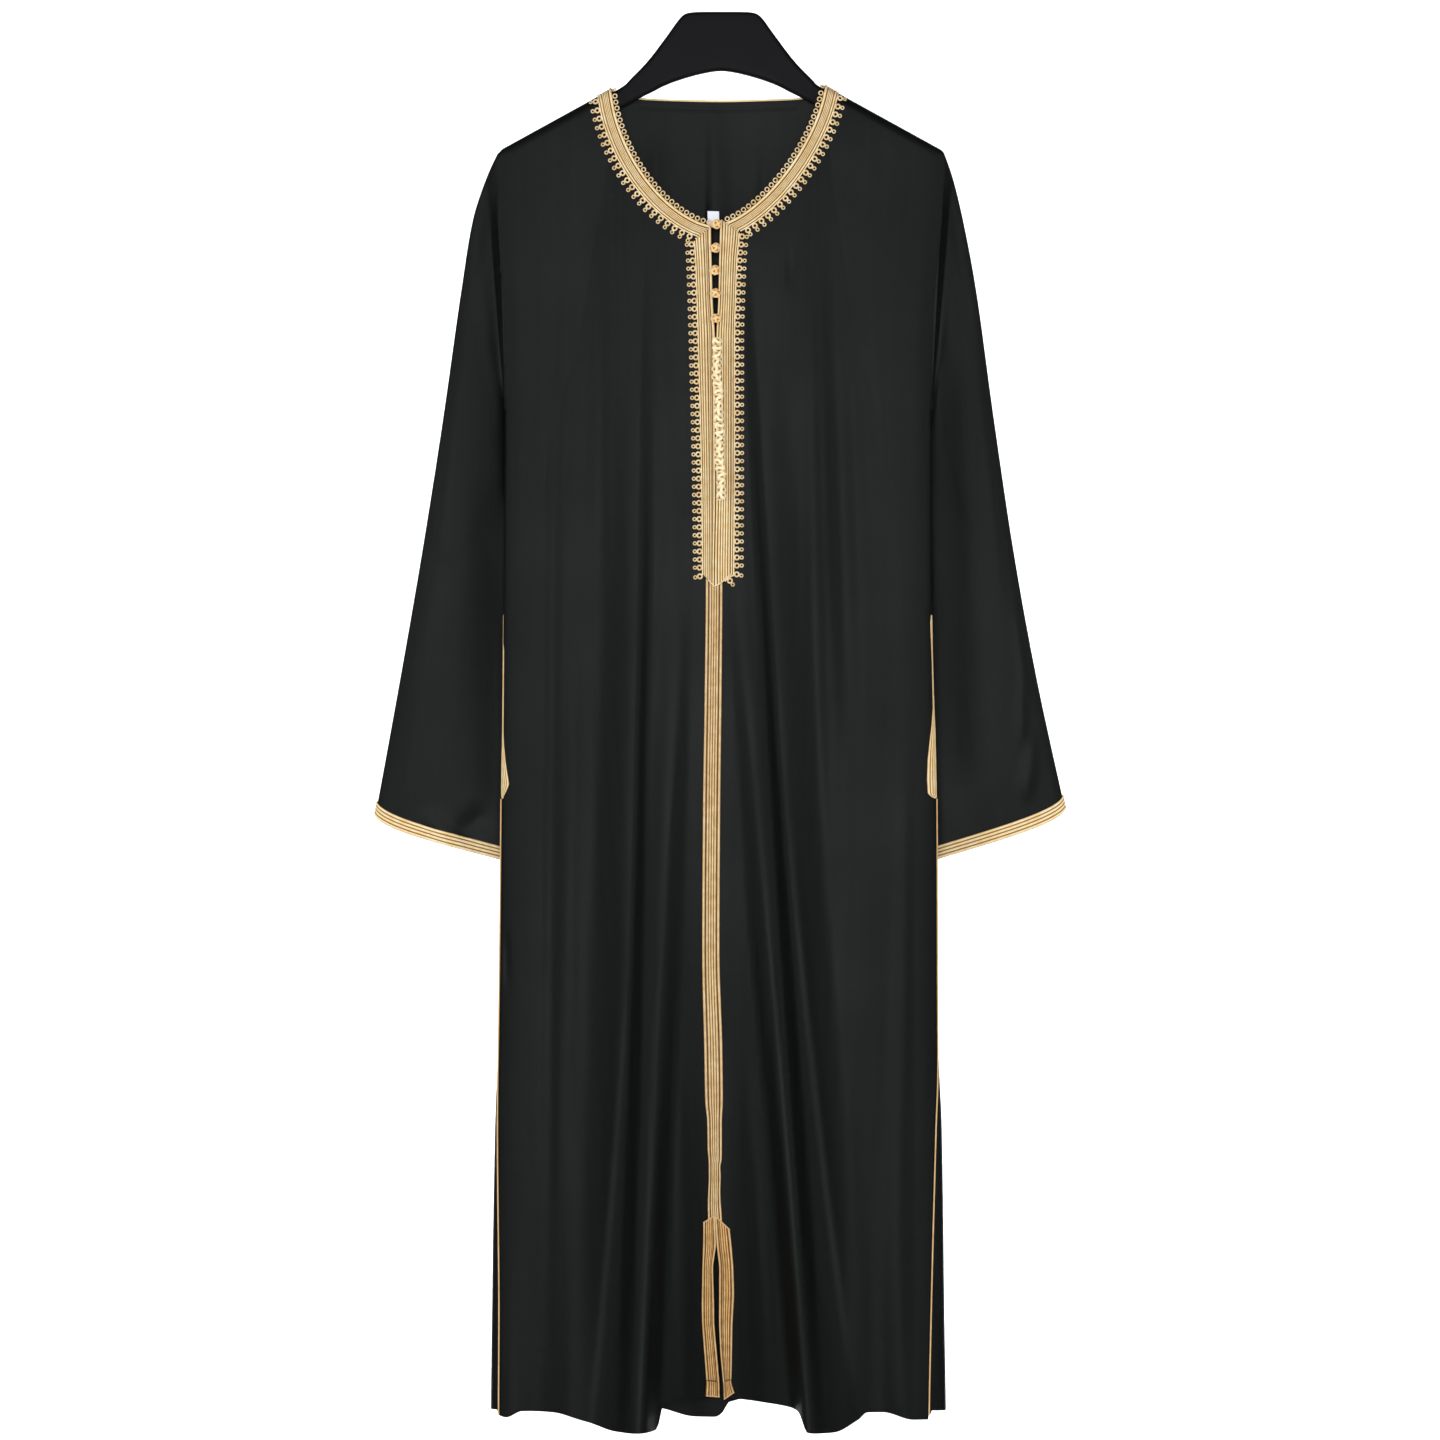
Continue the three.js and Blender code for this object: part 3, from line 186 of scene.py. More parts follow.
BACK_CREASES = table(
    Fold,
    ((-88, -360), (-8, -9), (7, 8), (20, 26), (0, -3.0, 0), 0, 0.7),
    ((-120, -420), (42, 36), (8, 14), (8, 14), (0, 1.8, 0)),
    ((-110, -380), (-62, -70), (10, 16), (10, 16), (0, -1.6, 0)),
    ((-260, -1100), (116, 120), (12, 18), (12, 18), (0, 2, 0)),
    ((-280, -1150), (-118, -126), (12, 18), (12, 18), (0, 2, 0)),
    ((-700, -1380), (30, 36), (10, 16), (10, 16), (0, 1.8, 0.8)),
    ((-640, -1380), (-44, -50), (10, 16), (10, 16), (0, 1.8, 0.8)),
)


class LinePoint(NamedTuple):
    """A point of a line that is seen from the front, such as a hem."""

    x: float
    z: float


FRONT_HEM = table(
    LinePoint, (-215, -1345), (-206, -1347), (-190, -1341), (-160, -1342), (-130, -1350), (-99, -1358),
    (-66, -1357.5), (-60.5, -1356), (-57.5, -1341), (-53, -1332), (-30, -1328.5), (-1, -1328.5),
    (16, -1330.5), (47, -1333), (73, -1338), (82, -1357), (108, -1359), (131, -1349), (140, -1342),
    (155, -1342), (185, -1349), (200, -1349), (216, -1345),
)
BACK_HEM = table(
    LinePoint, (-221, -1340), (-155, -1333), (-60, -1343), (-25, -1351), (-6, -1351), (2, -1346), (7, -1337),
    (47, -1331), (143, -1334), (216, -1341),
)
BACK_NECK = table(
    LinePoint, (-104.5, -73.5), (-97, -78.5), (-82, -82.6), (-40, -84.6), (0, -85.3), (40, -84.4),
    (76, -82.8), (90, -78), (98, -70),
)


class NeckArc(NamedTuple):
    """Half of the neck line, a superellipse."""

    x: float
    top: float
    half_width: float
    depth: float
    power: float


NECK_ARCS = {
    Side.LEFT: NeckArc(-3.4, -73, 98.9, 131.5, 1.68),
    Side.RIGHT: NeckArc(-3.4, -69, 100.5, 133.5, 1.5),
}


class SleeveRow(NamedTuple):
    """One place down a sleeve: its outer and inner folded edges, and how far each hangs back."""

    along: float
    outer_x: float
    outer_z: float
    inner_x: float
    inner_z: float
    outer_back: float
    inner_back: float


SLEEVE_ROWS = {
    Side.LEFT: table(
        SleeveRow,
        (0, 214, -135.5, 207.0, -382, 0, -1),
        (0.04, 225.5, -159, 206.2, -400, 5, 18),
        (0.1, 239, -200, 205.4, -428, 9, 22),
        (0.2, 249.5, -262, 204, -472, 15, 27),
        (0.4, 268, -390, 204, -560, 20, 32),
        (0.6, 288, -516, 195, -648, 24, 35),
        (0.8, 309, -637, 184, -737, 26, 36),
        (1, 333.5, -771, 173, -825, 28, 37),
    ),
    Side.RIGHT: table(
        SleeveRow,
        (0, 214, -135.5, 201.5, -382, 0, -1),
        (0.04, 222.5, -158, 200.6, -400, 5, 18),
        (0.1, 233, -200, 199.6, -428, 9, 22),
        (0.2, 245, -262, 198.5, -472, 15, 27),
        (0.4, 263, -390, 200, -560, 20, 32),
        (0.6, 282, -516, 192, -648, 24, 35),
        (0.8, 304, -637, 183, -737, 26, 36),
        (1, 332, -765, 173, -825, 28, 37),
    ),
}


def lerp(a: Number, b: Number, t: Number) -> Number:
    """The value a share t of the way from a to b."""
    return a + (b - a) * t


def smooth(t: Number) -> Number:
    """An eased step from 0 to 1."""
    t = np.clip(t, 0, 1)
    return t * t * (3 - 2 * t)


def unit(vectors: Array) -> Array:
    """Vectors made one long."""
    return vectors / np.maximum(np.linalg.norm(vectors, axis=-1, keepdims=True), 1e-9)


def joined(*columns: Number) -> Array:
    """Coordinates joined into points, spread over each other first."""
    return np.stack(np.broadcast_arrays(*columns), -1)


class Curve:
    """A smooth line through a table's rows that never overshoots them."""

    def __init__(self, rows: Sequence[NamedTuple], key: str, name: str) -> None:
        """Reads two columns of a table.

        Args:
            rows: the table.
            key: the column to look up by.
            name: the column to read.
        """
        pairs = sorted((getattr(row, key), getattr(row, name)) for row in rows)
        self.keys = np.array([pair[0] for pair in pairs], float)
        self.values = np.array([pair[1] for pair in pairs], float)
        slopes = np.diff(self.values) / np.diff(self.keys)
        before, after = slopes[:-1], slopes[1:]
        product = before * after
        total = np.where(np.abs(before + after) < 1e-12, 1, before + after)
        self.slopes = np.zeros(len(self.keys))
        self.slopes[1:-1] = np.where(product > 0, 2 * product / total, 0)

    def __call__(self, at: Number) -> Array:
        """The line's value, held flat beyond the table's ends.

        Args:
            at: the keys to look up.

        Returns:
            The values.
        """
        at = np.clip(at, self.keys[0], self.keys[-1])
        i = np.clip(np.searchsorted(self.keys, at, side="right") - 1, 0, len(self.keys) - 2)
        span = self.keys[i + 1] - self.keys[i]
        t = (at - self.keys[i]) / span
        start = (2 * t**3 - 3 * t**2 + 1) * self.values[i] + (t**3 - 2 * t**2 + t) * span * self.slopes[i]
        end = (3 * t**2 - 2 * t**3) * self.values[i + 1] + (t**3 - t**2) * span * self.slopes[i + 1]
        return start + end


BODY = {name: Curve(BODY_ROWS, "z", name) for name in BodyRow._fields[1:]}
CENTRE = {side: Curve(CENTRE_ROWS, "z", side.word) for side in Side}


@dataclass(frozen=True)
class RobeForm:
    """The shape that the cloth hangs in: a flattened tube with folds, walked by an angle and a height.

    The angle is 0 at the right side, a quarter turn at the back, a half turn at the left side and three
    quarters at the front.
    """

    seam_gap: float = 0.4
    seam_angle_gap: float = 0.012
    shoulder_slope: float = 0.55
    shoulder_x: float = 120.0
    shoulder_z: float = -82.0
    shoulder_round: float = 9.0
    armhole_top: float = -135.5
    armhole_bottom: float = -382.0
    side_hem: float = -1345.0
    edge_angle: float = 0.155
    fold_margin: float = 0.3
    neck_cloth: float = 3.4

    def shoulder_line(self, x: Number) -> Number:
        """The shoulder line's height at x."""
        return self.shoulder_z - self.shoulder_slope * (np.abs(x) - self.shoulder_x)

    def neck_point(self, side: Side, turn: Array, offset: Number) -> Arrays:
        """A point of the neck line pushed outwards.

        Args:
            side: which half of the neck.
            turn: 0 at the shoulder to 1 in front.
            offset: how far outwards.

        Returns:
            The x and the z.
        """
        arc = NECK_ARCS[side]
        angle = np.clip(turn, 1e-4, 1 - 1e-4) * PI / 2
        x = arc.half_width * np.cos(angle) ** (2 / arc.power)
        z = -arc.depth * np.sin(angle) ** (2 / arc.power)
        nx = (x / arc.half_width) ** (arc.power - 1) / arc.half_width
        nz = -((-z / arc.depth) ** (arc.power - 1)) / arc.depth
        size = np.hypot(nx, nz)
        return arc.x + side.value * (x + offset * nx / size), arc.top + z + offset * nz / size

    @staticmethod
    def folds(rows: Sequence[Fold], x: Array, z: Array) -> Arrays:
        """How far folds push points outwards and aside.

        Args:
            rows: the folds.
            x: the points' places across.
            z: their heights.

        Returns:
            The push outwards and the push aside.
        """
        out = np.zeros(np.broadcast(x, z).shape)
        aside = np.zeros_like(out)
        for fold in rows:
            raw = (fold.z[0] - z) / (fold.z[0] - fold.z[1])
            t = np.clip(raw, 0, 1)
            middle = lerp(fold.x[0], fold.x[1], t**fold.bend)
            half = np.where(x < middle, lerp(*fold.left, t), lerp(*fold.right, t))
            u = np.minimum(np.abs(x - middle) / half, 1)
            bump = np.where((raw > 0) & (raw < 1), np.cos(u * PI / 2) ** 2, 0)
            top, mid, foot = fold.out
            height = top * (1 - t) * (1 - 2 * t) + 4 * mid * t * (1 - t) + foot * t * (2 * t - 1)
            out = out + height * bump
            aside = aside + fold.lean * bump * t**3
        return out, aside

    @staticmethod
    def ripple(x: Array, z: Array, phase: float) -> Array:
        """The faint upright ripples of satin that hangs, a little deeper lower down.

        Args:
            x: places across.
            z: their heights.
            phase: where the ripples start.

        Returns:
            How far they push outwards.
        """
        fall = smooth((-z - 150) / 500)
        swing = 9 * np.sin(z / 190 + phase)
        fine = 0.16 * np.sin((x + swing) / 6.7 + phase) * np.sin(z / 83 + x / 61)
        slow = 0.7 * np.sin((x + 2 * swing) / 17.3 - phase + z / 420) * np.sin(z / 310 + x / 90 + phase)
        return (0.3 + 0.4 * fall) * (fine + slow)

    def middle_half(self, z: Array) -> Arrays:
        """The section's middle and half width at z."""
        left, right = BODY["left"](z), BODY["right"](z)
        in_armhole = smooth((z - self.armhole_bottom) / 30 + 0.2)
        widen = 1 / lerp(1, math.cos(self.edge_angle), in_armhole)
        return (left + right) / 2, (right - left) / 2 * widen

    def point(self, angle: Array, z: Array) -> Array:
        """Points of the cloth's outside.

        Args:
            angle: the angles round the section.
            z: the heights.

        Returns:
            The points, with their coordinates last.
        """
        angle, z = np.broadcast_arrays(angle, z)
        middle, half = self.middle_half(z)
        x = middle + half * np.cos(angle)
        across = np.sin(angle)
        front = across < 0
        depth = np.where(front, BODY["front"](z), BODY["back"](z))
        below = np.clip((self.shoulder_line(x) - z) / self.shoulder_round, 0, 1)
        rounding = np.sqrt(1 - (1 - below) ** 2)
        front_out, front_aside = self.folds(FRONT_FOLDS + FRONT_CREASES, x, z)
        back_out, back_aside = self.folds(BACK_FOLDS + BACK_CREASES, x, z)
        out = np.where(front, front_out + self.ripple(x, z, 1.3), back_out + self.ripple(x, z, 4.1))
        aside = np.where(front, front_aside, back_aside)
        inward = smooth(np.abs(across) / self.fold_margin)
        y = depth * np.sqrt(np.abs(across)) * rounding + out * inward * rounding
        return np.stack([x + aside * inward, np.where(front, -1, 1) * (y + self.seam_gap / 2), z], -1)

    def normal(self, angle: Array, z: Array) -> Array:
        """Outward normals of the cloth's outside."""
        turn = self.point(angle + 1e-3, z) - self.point(angle - 1e-3, z)
        up = self.point(angle, z + 0.5) - self.point(angle, z - 0.5)
        return unit(np.cross(turn, up))

    def angle_of(self, x: Array, z: Array) -> Array:
        """The angle at the back half of the section at which it is at x."""
        middle, half = self.middle_half(z)
        return np.arccos(np.clip((x - middle) / half, -1, 1))

    def surface(self, angle: Array, z: Array) -> Arrays:
        """Points and normals of the cloth's outside."""
        return self.point(angle, z), self.normal(angle, z)

    def outside(self, x: Number, z: Number, behind: bool = False) -> Arrays:
        """The cloth's outside at places seen from the front.

        Args:
            x: the places across.
            z: their heights.
            behind: reads the back instead of the front.

        Returns:
            The points and normals.
        """
        x, z = np.broadcast_arrays(np.asarray(x, float), np.asarray(z, float))
        angle = self.angle_of(x, z)
        points, normals = self.surface(angle if behind else 2 * PI - angle, z)
        points[..., 0] = x
        return points, normals

    def seam(self, side: Side, z: Array, behind: bool = False) -> Array:
        """The angle at which the front, or the back, stops at a side seam.

        Args:
            side: which seam.
            z: the heights.
            behind: whether it is the back's edge.

        Returns:
            The angles.
        """
        lap = BODY["lap_" + side.word](z) - (self.seam_angle_gap if behind else 0)
        edge = -self.edge_angle if behind else self.edge_angle
        stop = lerp(lap, edge, smooth((z - self.armhole_bottom) / 40))
        return PI + stop if side is Side.LEFT else (0 if behind else 2 * PI) - stop


FORM = RobeForm()


# ---- meshes
def grid_faces(columns: int, rows: int, wrap_columns: bool = False, wrap_rows: bool = False) -> Array:
    """Quads of a grid of points numbered down its columns.

    Args:
        columns: points across.
        rows: points down.
        wrap_columns: joins the last column to the first.
        wrap_rows: joins the last row to the first.

    Returns:
        The quads' point numbers, four to a row.
    """
    i = np.arange(columns if wrap_columns else columns - 1)
    j = np.arange(rows if wrap_rows else rows - 1)
    i, j = (a.ravel() for a in np.meshgrid(i, j, indexing="ij"))
    i2, j2 = (i + 1) % columns, (j + 1) % rows
    return np.stack([i * rows + j, i2 * rows + j, i2 * rows + j2, i * rows + j2], -1)


def outward(points: Array, faces: Array) -> Array:
    """The faces of a closed body, turned so that they look out of it."""
    p = points[faces]
    volume = 0.0
    for k in range(1, faces.shape[1] - 1):
        volume += np.einsum("ij,ij->", p[:, 0], np.cross(p[:, k], p[:, k + 1]))
    return faces if volume > 0 else faces[:, ::-1]


def end_faces(rings: int, sides: int) -> list[Array]:
    """The faces that close the first and the last ring of a grid whose rows are rings.

    Args:
        rings: how many rings the grid has.
        sides: points in a ring.

    Returns:
        The two ends' faces.
    """
    ends = []
    for end in (0, rings - 1):
        ring = end * sides + np.arange(sides)
        fan = np.array([[ring[0], ring[k], ring[k + 1], ring[k + 1]] for k in range(1, sides - 1)])
        ends.append(fan if end else fan[:, ::-1])
    return ends


def ball_of(rings: int, sides: int, end: float) -> Arrays:
    """A ball of radius 1 about the first axis.

    Args:
        rings: from end to end.
        sides: points in a ring.
        end: the angle between an end and its first ring.

    Returns:
        The points and the faces.
    """
    a = np.linspace(end, PI - end, rings)[:, None]
    b = np.arange(sides) * 2 * PI / sides
    points = joined(np.cos(a), np.sin(a) * np.cos(b), np.sin(a) * np.sin(b))
    faces = np.concatenate([grid_faces(rings, sides, False, True), *end_faces(rings, sides)])
    return points.reshape(-1, 3), faces


def distance_along(points: Array, axis: int = 0) -> Array:
    """How far each point lies along its line, or along its line of a grid."""
    total = np.cumsum(np.linalg.norm(np.diff(points, axis=axis), axis=-1), axis=axis)
    return np.concatenate([np.zeros_like(np.take(total, [0], axis=axis)), total], axis=axis)


def read_along(line: Array, at: Array) -> Array:
    """The points that lie at some distances along a line."""
    length = distance_along(line)
    return np.stack([np.interp(at, length, column) for column in line.T], -1)


def evenly(length: float, pitch: float, least: int = 2) -> Array:
    """Distances at about a pitch, half a step in from both ends of a length."""
    count = max(least, round(length / pitch))
    return (np.arange(count) + 0.5) / count * length


class Stock:
    """Mesh parts gathered before they become one piece.

    Each point carries its place on the thread or cloth: millimetres along, millimetres across, and how
    high it stands on its cord, from 0 in a groove to 1 on a ridge.
    """

    def __init__(self) -> None:
        """Starts with nothing in it."""
        self.points: list[Array] = []
        self.places: list[Array] = []
        self.faces: list[list[int]] = []
        self.slots: list[int] = []
        self.count = 0

    def add(self, points: Array, faces: Array, place: Array, slot: int = 0) -> None:
        """Adds one closed part.

        Args:
            points: its points.
            faces: its faces, as rows of point numbers.
            place: along, across and height of each point.
            slot: the material that it takes.
        """
        points = points.reshape(-1, 3)
        faces = outward(points, faces)
        self.points.append(points)
        self.places.append(np.broadcast_to(place.reshape(-1, 3), points.shape))
        self.faces.extend((faces + self.count).tolist())
        self.slots.extend([slot] * len(faces))
        self.count += len(points)

    def add_each(self, points: Array, faces: Array, place: Array, slot: int = 0) -> None:
        """Adds many parts of one shape, numbered first."""
        for part, part_place in zip(points, np.broadcast_to(place, points.shape)):
            self.add(part, faces, part_place, slot)

    def slab(
        self, points: Array, normals: Array, near: Number, far: Number, place: Array, wrap: bool = False,
        slot: int = 0,
    ) -> None:
        """Adds the closed body between a grid moved along its normals by near and by far.

        Args:
            points: the grid, columns then rows.
            normals: its normals.
            near: the first move.
            far: the second move.
            place: along, across and height of each grid point.
            wrap: joins the last column to the first.
            slot: the material that it takes.
        """
        columns, rows = points.shape[:2]
        layers = [points + normals * np.broadcast_to(d, (columns, rows))[..., None] for d in (near, far)]
        size = columns * rows
        sheet = grid_faces(columns, rows, wrap)
        rims = [np.arange(columns) * rows, np.arange(columns) * rows + rows - 1]
        if not wrap:
            rims += [np.arange(rows), (columns - 1) * rows + np.arange(rows)]
        faces = [sheet, sheet[:, ::-1] + size]
        for k, rim in enumerate(rims):
            closing = wrap and k < 2
            here = rim if closing else rim[:-1]
            after = np.roll(rim, -1) if closing else rim[1:]
            quads = np.stack([here, here + size, after + size, after], -1)
            faces.append(quads if k in (0, 3) else quads[:, ::-1])
        self.add(np.stack(layers).reshape(-1, 3), np.concatenate(faces), np.stack([place, place]), slot)

    def tube(
        self, path: Array, up: Array, radius: Number, sides: int = 8, slot: int = 0, loop: bool = False
    ) -> None:
        """Adds a round cord.

        Args:
            path: the points that its middle follows.
            up: which way is away from the cloth at each point.
            radius: of the cord.
            sides: of its section.
            slot: the material that it takes.
            loop: joins its end to its start.
        """
        if loop:
            tangent = unit(np.roll(path, -1, 0) - np.roll(path, 1, 0))
        else:
            tangent = unit(np.gradient(path, axis=0))
        side = unit(np.cross(tangent, np.broadcast_to(up, path.shape)))
        top = np.cross(side, tangent)
        turn = PI + np.arange(sides) * 2 * PI / sides
        radius = np.broadcast_to(radius, len(path))[:, None, None]
        ring = np.cos(turn)[None, :, None] * top[:, None] + np.sin(turn)[None, :, None] * side[:, None]
        points = path[:, None] + radius * ring
        around, height = (turn - PI)[None] / PI, 0.5 + 0.5 * np.cos(turn)[None]
        place = joined(distance_along(path)[:, None], around, height)
        faces = grid_faces(len(path), sides, loop, True)
        if not loop:
            faces = np.concatenate([faces, *end_faces(len(path), sides)])
        self.add(points.reshape(-1, 3), faces, place, slot)

    def rings(
        self, centres: Array, along: Array, across: Array, radius: float, cord: float, steps: int = 18
    ) -> None:
        """Adds rings of cord that lie flat.

        Args:
            centres: their middles.
            along: one direction in each ring's plane.
            across: the other direction in its plane.
            radius: from a ring's middle to its cord's middle.
            cord: the cord's radius.
            steps: round a ring.
        """
        sides = 8
        up = unit(np.cross(along, across))
        a = np.arange(steps) * 2 * PI / steps
        b = PI + np.arange(sides) * 2 * PI / sides
        out = np.cos(a)[:, None] * along[:, None] + np.sin(a)[:, None] * across[:, None]
        points = centres[:, None, None] + (radius + cord * np.sin(b))[None, None, :, None] * out[:, :, None]
        points = points - cord * np.cos(b)[None, None, :, None] * up[:, None, None]
        around, height = (b - PI)[None] / PI, 0.5 - 0.5 * np.cos(b)[None]
        place = joined((a * radius)[:, None], around, height).reshape(-1, 3)
        faces = grid_faces(steps, sides, True, True)
        self.add_each(points.reshape(len(centres), -1, 3), faces, place)

    def beads(self, centres: Array, axes: Array, sizes: Sequence[float], slot: int = 0) -> None:
        """Adds small rounded stitches.

        Args:
            centres: their middles.
            axes: three directions for each, numbered before the coordinates.
            sizes: half lengths along the three directions.
            slot: the material that they take.
        """
        ball, faces = ball_of(5, 8, 0.12)
        points = centres[:, None] + np.einsum("pk,k,nkc->npc", ball, np.array(sizes), axes)
        self.add_each(points, faces, np.zeros((len(ball), 3)) + [0, 0, 0.8], slot)

    def piece(self, name: str, finishes: Sequence["Finish"], sharp: float = 50.0) -> Piece:
        """Makes the piece.

        Args:
            name: its name.
            finishes: what its slots are finished with.
            sharp: edges that turn by more than this many degrees stay sharp.

        Returns:
            The Blender object.
        """
        mesh = bpy.data.meshes.new(name)
        points = np.concatenate(self.points)
        faces = [list(dict.fromkeys(f)) for f in self.faces]
        mesh.from_pydata((points * MM).tolist(), [], faces)
        mesh.polygons.foreach_set("material_index", self.slots)
        mesh.polygons.foreach_set("use_smooth", [True] * len(faces))
        place = mesh.attributes.new("place", "FLOAT_VECTOR", "POINT")
        place.data.foreach_set("vector", np.concatenate(self.places).astype(np.float32).ravel())
        mesh.set_sharp_from_angle(angle=math.radians(sharp))
        for finish in finishes:
            mesh.materials.append(finish.material())
        return link(bpy.data.objects.new(name, mesh))

    def stand(
        self, name: str, finishes: Sequence["Finish"], nodes: Sequence[str],
        side: Side | None = None, sharp: float = 50.0,
    ) -> Piece:
        """Makes a piece that rides with the robe and stands for its solids.

        Args:
            name: its name, without its side's word.
            finishes: what its slots are finished with.
            nodes: the solids that it stands for, without the side's word.
            side: the side, whose word ends all of these names.
            sharp: edges that turn by more than this many degrees stay sharp.

        Returns:
            The piece.
        """
        end = f"_{side.word}" if side else ""
        piece = self.piece(name + end, finishes, sharp)
        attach(piece, "root")
        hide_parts(*(node + end for node in nodes))
        LOG.info("%s: %d faces", piece.name, len(piece.data.polygons))
        return piece


# ---- finishes
Colour = tuple[float, float, float]


class Graph:
    """A material's node graph, with short ways to add to it."""

    def __init__(self, name: str) -> None:
        """Makes an empty material with its output and its shader."""
        self.material = bpy.data.materials.new(name)
        self.material.use_nodes = True
        self.tree = self.material.node_tree
        self.tree.nodes.clear()
        self.output = self.tree.nodes.new("ShaderNodeOutputMaterial")
        self.shader = self.tree.nodes.new("ShaderNodeBsdfPrincipled")
        self.tree.links.new(self.shader.outputs["BSDF"], self.output.inputs["Surface"])

    def set(self, **values: float | Colour | Socket) -> None:
        """Sets or links the shader's own sockets, with spaces written as underscores."""
        for name, value in values.items():
            self.link(value, self.shader.inputs[name.replace("_", " ")])

    def link(self, value: object, socket: Socket) -> None:
        """Links a socket, or sets a plain number or colour."""
        if isinstance(value, Socket):
            self.tree.links.new(value, socket)
        elif isinstance(value, tuple):
            socket.default_value = (*value, 1.0) if len(socket.default_value) == 4 else value
        else:
            socket.default_value = value

    def place(self) -> tuple[Socket, Socket, Socket]:
        """The place on the thread or cloth: along, across and height."""
        read = self.tree.nodes.new("ShaderNodeAttribute")
        read.attribute_name = "place"
        split = self.tree.nodes.new("ShaderNodeSeparateXYZ")
        self.tree.links.new(read.outputs["Vector"], split.inputs[0])
        return split.outputs["X"], split.outputs["Y"], split.outputs["Z"]

    def object_space(self) -> Socket:
        """The point in the piece's own space, in metres."""
        return self.tree.nodes.new("ShaderNodeTexCoord").outputs["Object"]

    def math(self, operation: str, a: object, b: object = 0.0) -> Socket:
        """A sum, product or other function of two numbers."""
        node = self.tree.nodes.new("ShaderNodeMath")
        node.operation = operation
        self.link(a, node.inputs[0])
        self.link(b, node.inputs[1])
        return node.outputs[0]

    def wave(self, value: object, pitch: float) -> Socket:
        """A wave from 0 to 1 that repeats each pitch."""
        turned = self.math("SINE", self.math("MULTIPLY", value, 2 * PI / pitch))
        return self.math("ADD", self.math("MULTIPLY", turned, 0.5), 0.5)

    def vector(self, x: object, y: object, z: object = 0.0) -> Socket:
        """A vector of three numbers."""
        node = self.tree.nodes.new("ShaderNodeCombineXYZ")
        for value, socket in zip((x, y, z), node.inputs):
            self.link(value, socket)
        return node.outputs[0]

    def noise(self, vector: object, scale: float, detail: float = 3.0, rough: float = 0.5) -> Socket:
        """Soft noise from 0 to 1."""
        node = self.tree.nodes.new("ShaderNodeTexNoise")
        node.inputs["Scale"].default_value = scale
        node.inputs["Detail"].default_value = detail
        node.inputs["Roughness"].default_value = rough
        self.link(vector, node.inputs["Vector"])
        return node.outputs[0]

    def spread(self, value: object, low: float, high: float, to_low: float = 0, to_high: float = 1) -> Socket:
        """Maps a number from one range to another and keeps it there."""
        node = self.tree.nodes.new("ShaderNodeMapRange")
        self.link(value, node.inputs["Value"])
        for name, limit in (("From Min", low), ("From Max", high), ("To Min", to_low), ("To Max", to_high)):
            node.inputs[name].default_value = limit
        return node.outputs[0]

    def mix(self, share: object, a: object, b: object) -> Socket:
        """A mix of two colours."""
        node = self.tree.nodes.new("ShaderNodeMix")
        node.data_type = "RGBA"
        self.link(share, node.inputs["Factor"])
        self.link(a, node.inputs[6])
        self.link(b, node.inputs[7])
        return node.outputs[2]

    def bump(self, height: object, distance: float, strength: float = 1.0) -> None:
        """Raises the surface by a height from 0 to 1, over a distance in millimetres."""
        node = self.tree.nodes.new("ShaderNodeBump")
        node.inputs["Strength"].default_value = strength
        node.inputs["Distance"].default_value = distance * MM
        self.link(height, node.inputs["Height"])
        self.tree.links.new(node.outputs[0], self.shader.inputs["Normal"])


class Finish(ABC):
    """A finish: one material, made the first time that it is asked for."""

    made: dict[object, bpy.types.Material] = {}

    @abstractmethod
    def build(self) -> bpy.types.Material:
        """Makes the material."""

    def material(self) -> bpy.types.Material:
        """The finish's material."""
        if self not in Finish.made:
            Finish.made[self] = self.build()
        return Finish.made[self]


@dataclass(frozen=True)
class Satin(Finish):
    """Near-black satin: a fine close weave, faint upright slubs and a soft broad sheen."""

    name: str = "black_satin"
    dark: Colour = (0.0026, 0.0029, 0.0030)
    light: Colour = (0.0038, 0.0042, 0.0043)
    roughness: Pair = (0.40, 0.46)
    thread: float = 0.42

    def build(self) -> bpy.types.Material:
        """Makes the satin."""
        g = Graph(self.name)
        along, across, _ = g.place()
        slub = g.noise(g.vector(g.math("MULTIPLY", along, 0.004), g.math("MULTIPLY", across, 0.11)), 1.0, 4)
        cloud = g.noise(g.object_space(), 9.0, 2)
        g.set(Base_Color=g.mix(g.spread(slub, 0.3, 0.7), self.dark, self.light))
        g.set(Roughness=g.spread(cloud, 0.3, 0.7, *self.roughness))
        warp = g.wave(across, self.thread)
        float_step = g.math("ADD", along, g.math("MULTIPLY", across, 1.7))
        weft = g.wave(float_step, self.thread * 2.4)
        weave = g.math("ADD", g.math("MULTIPLY", warp, 0.6), g.math("MULTIPLY", weft, 0.4))
        crumple = g.noise(g.object_space(), 38.0, 3, 0.55)
        g.bump(g.math("ADD", g.math("MULTIPLY", weave, 0.25), g.math("MULTIPLY", crumple, 2.4)), 0.12)
        g.set(Specular_IOR_Level=0.075, Sheen_Weight=0.004, Sheen_Roughness=0.4, Anisotropic=0.3)
        g.set(Sheen_Tint=(0.6, 0.66, 0.62), Specular_Tint=(0.95, 1.0, 0.97))
        return g.material


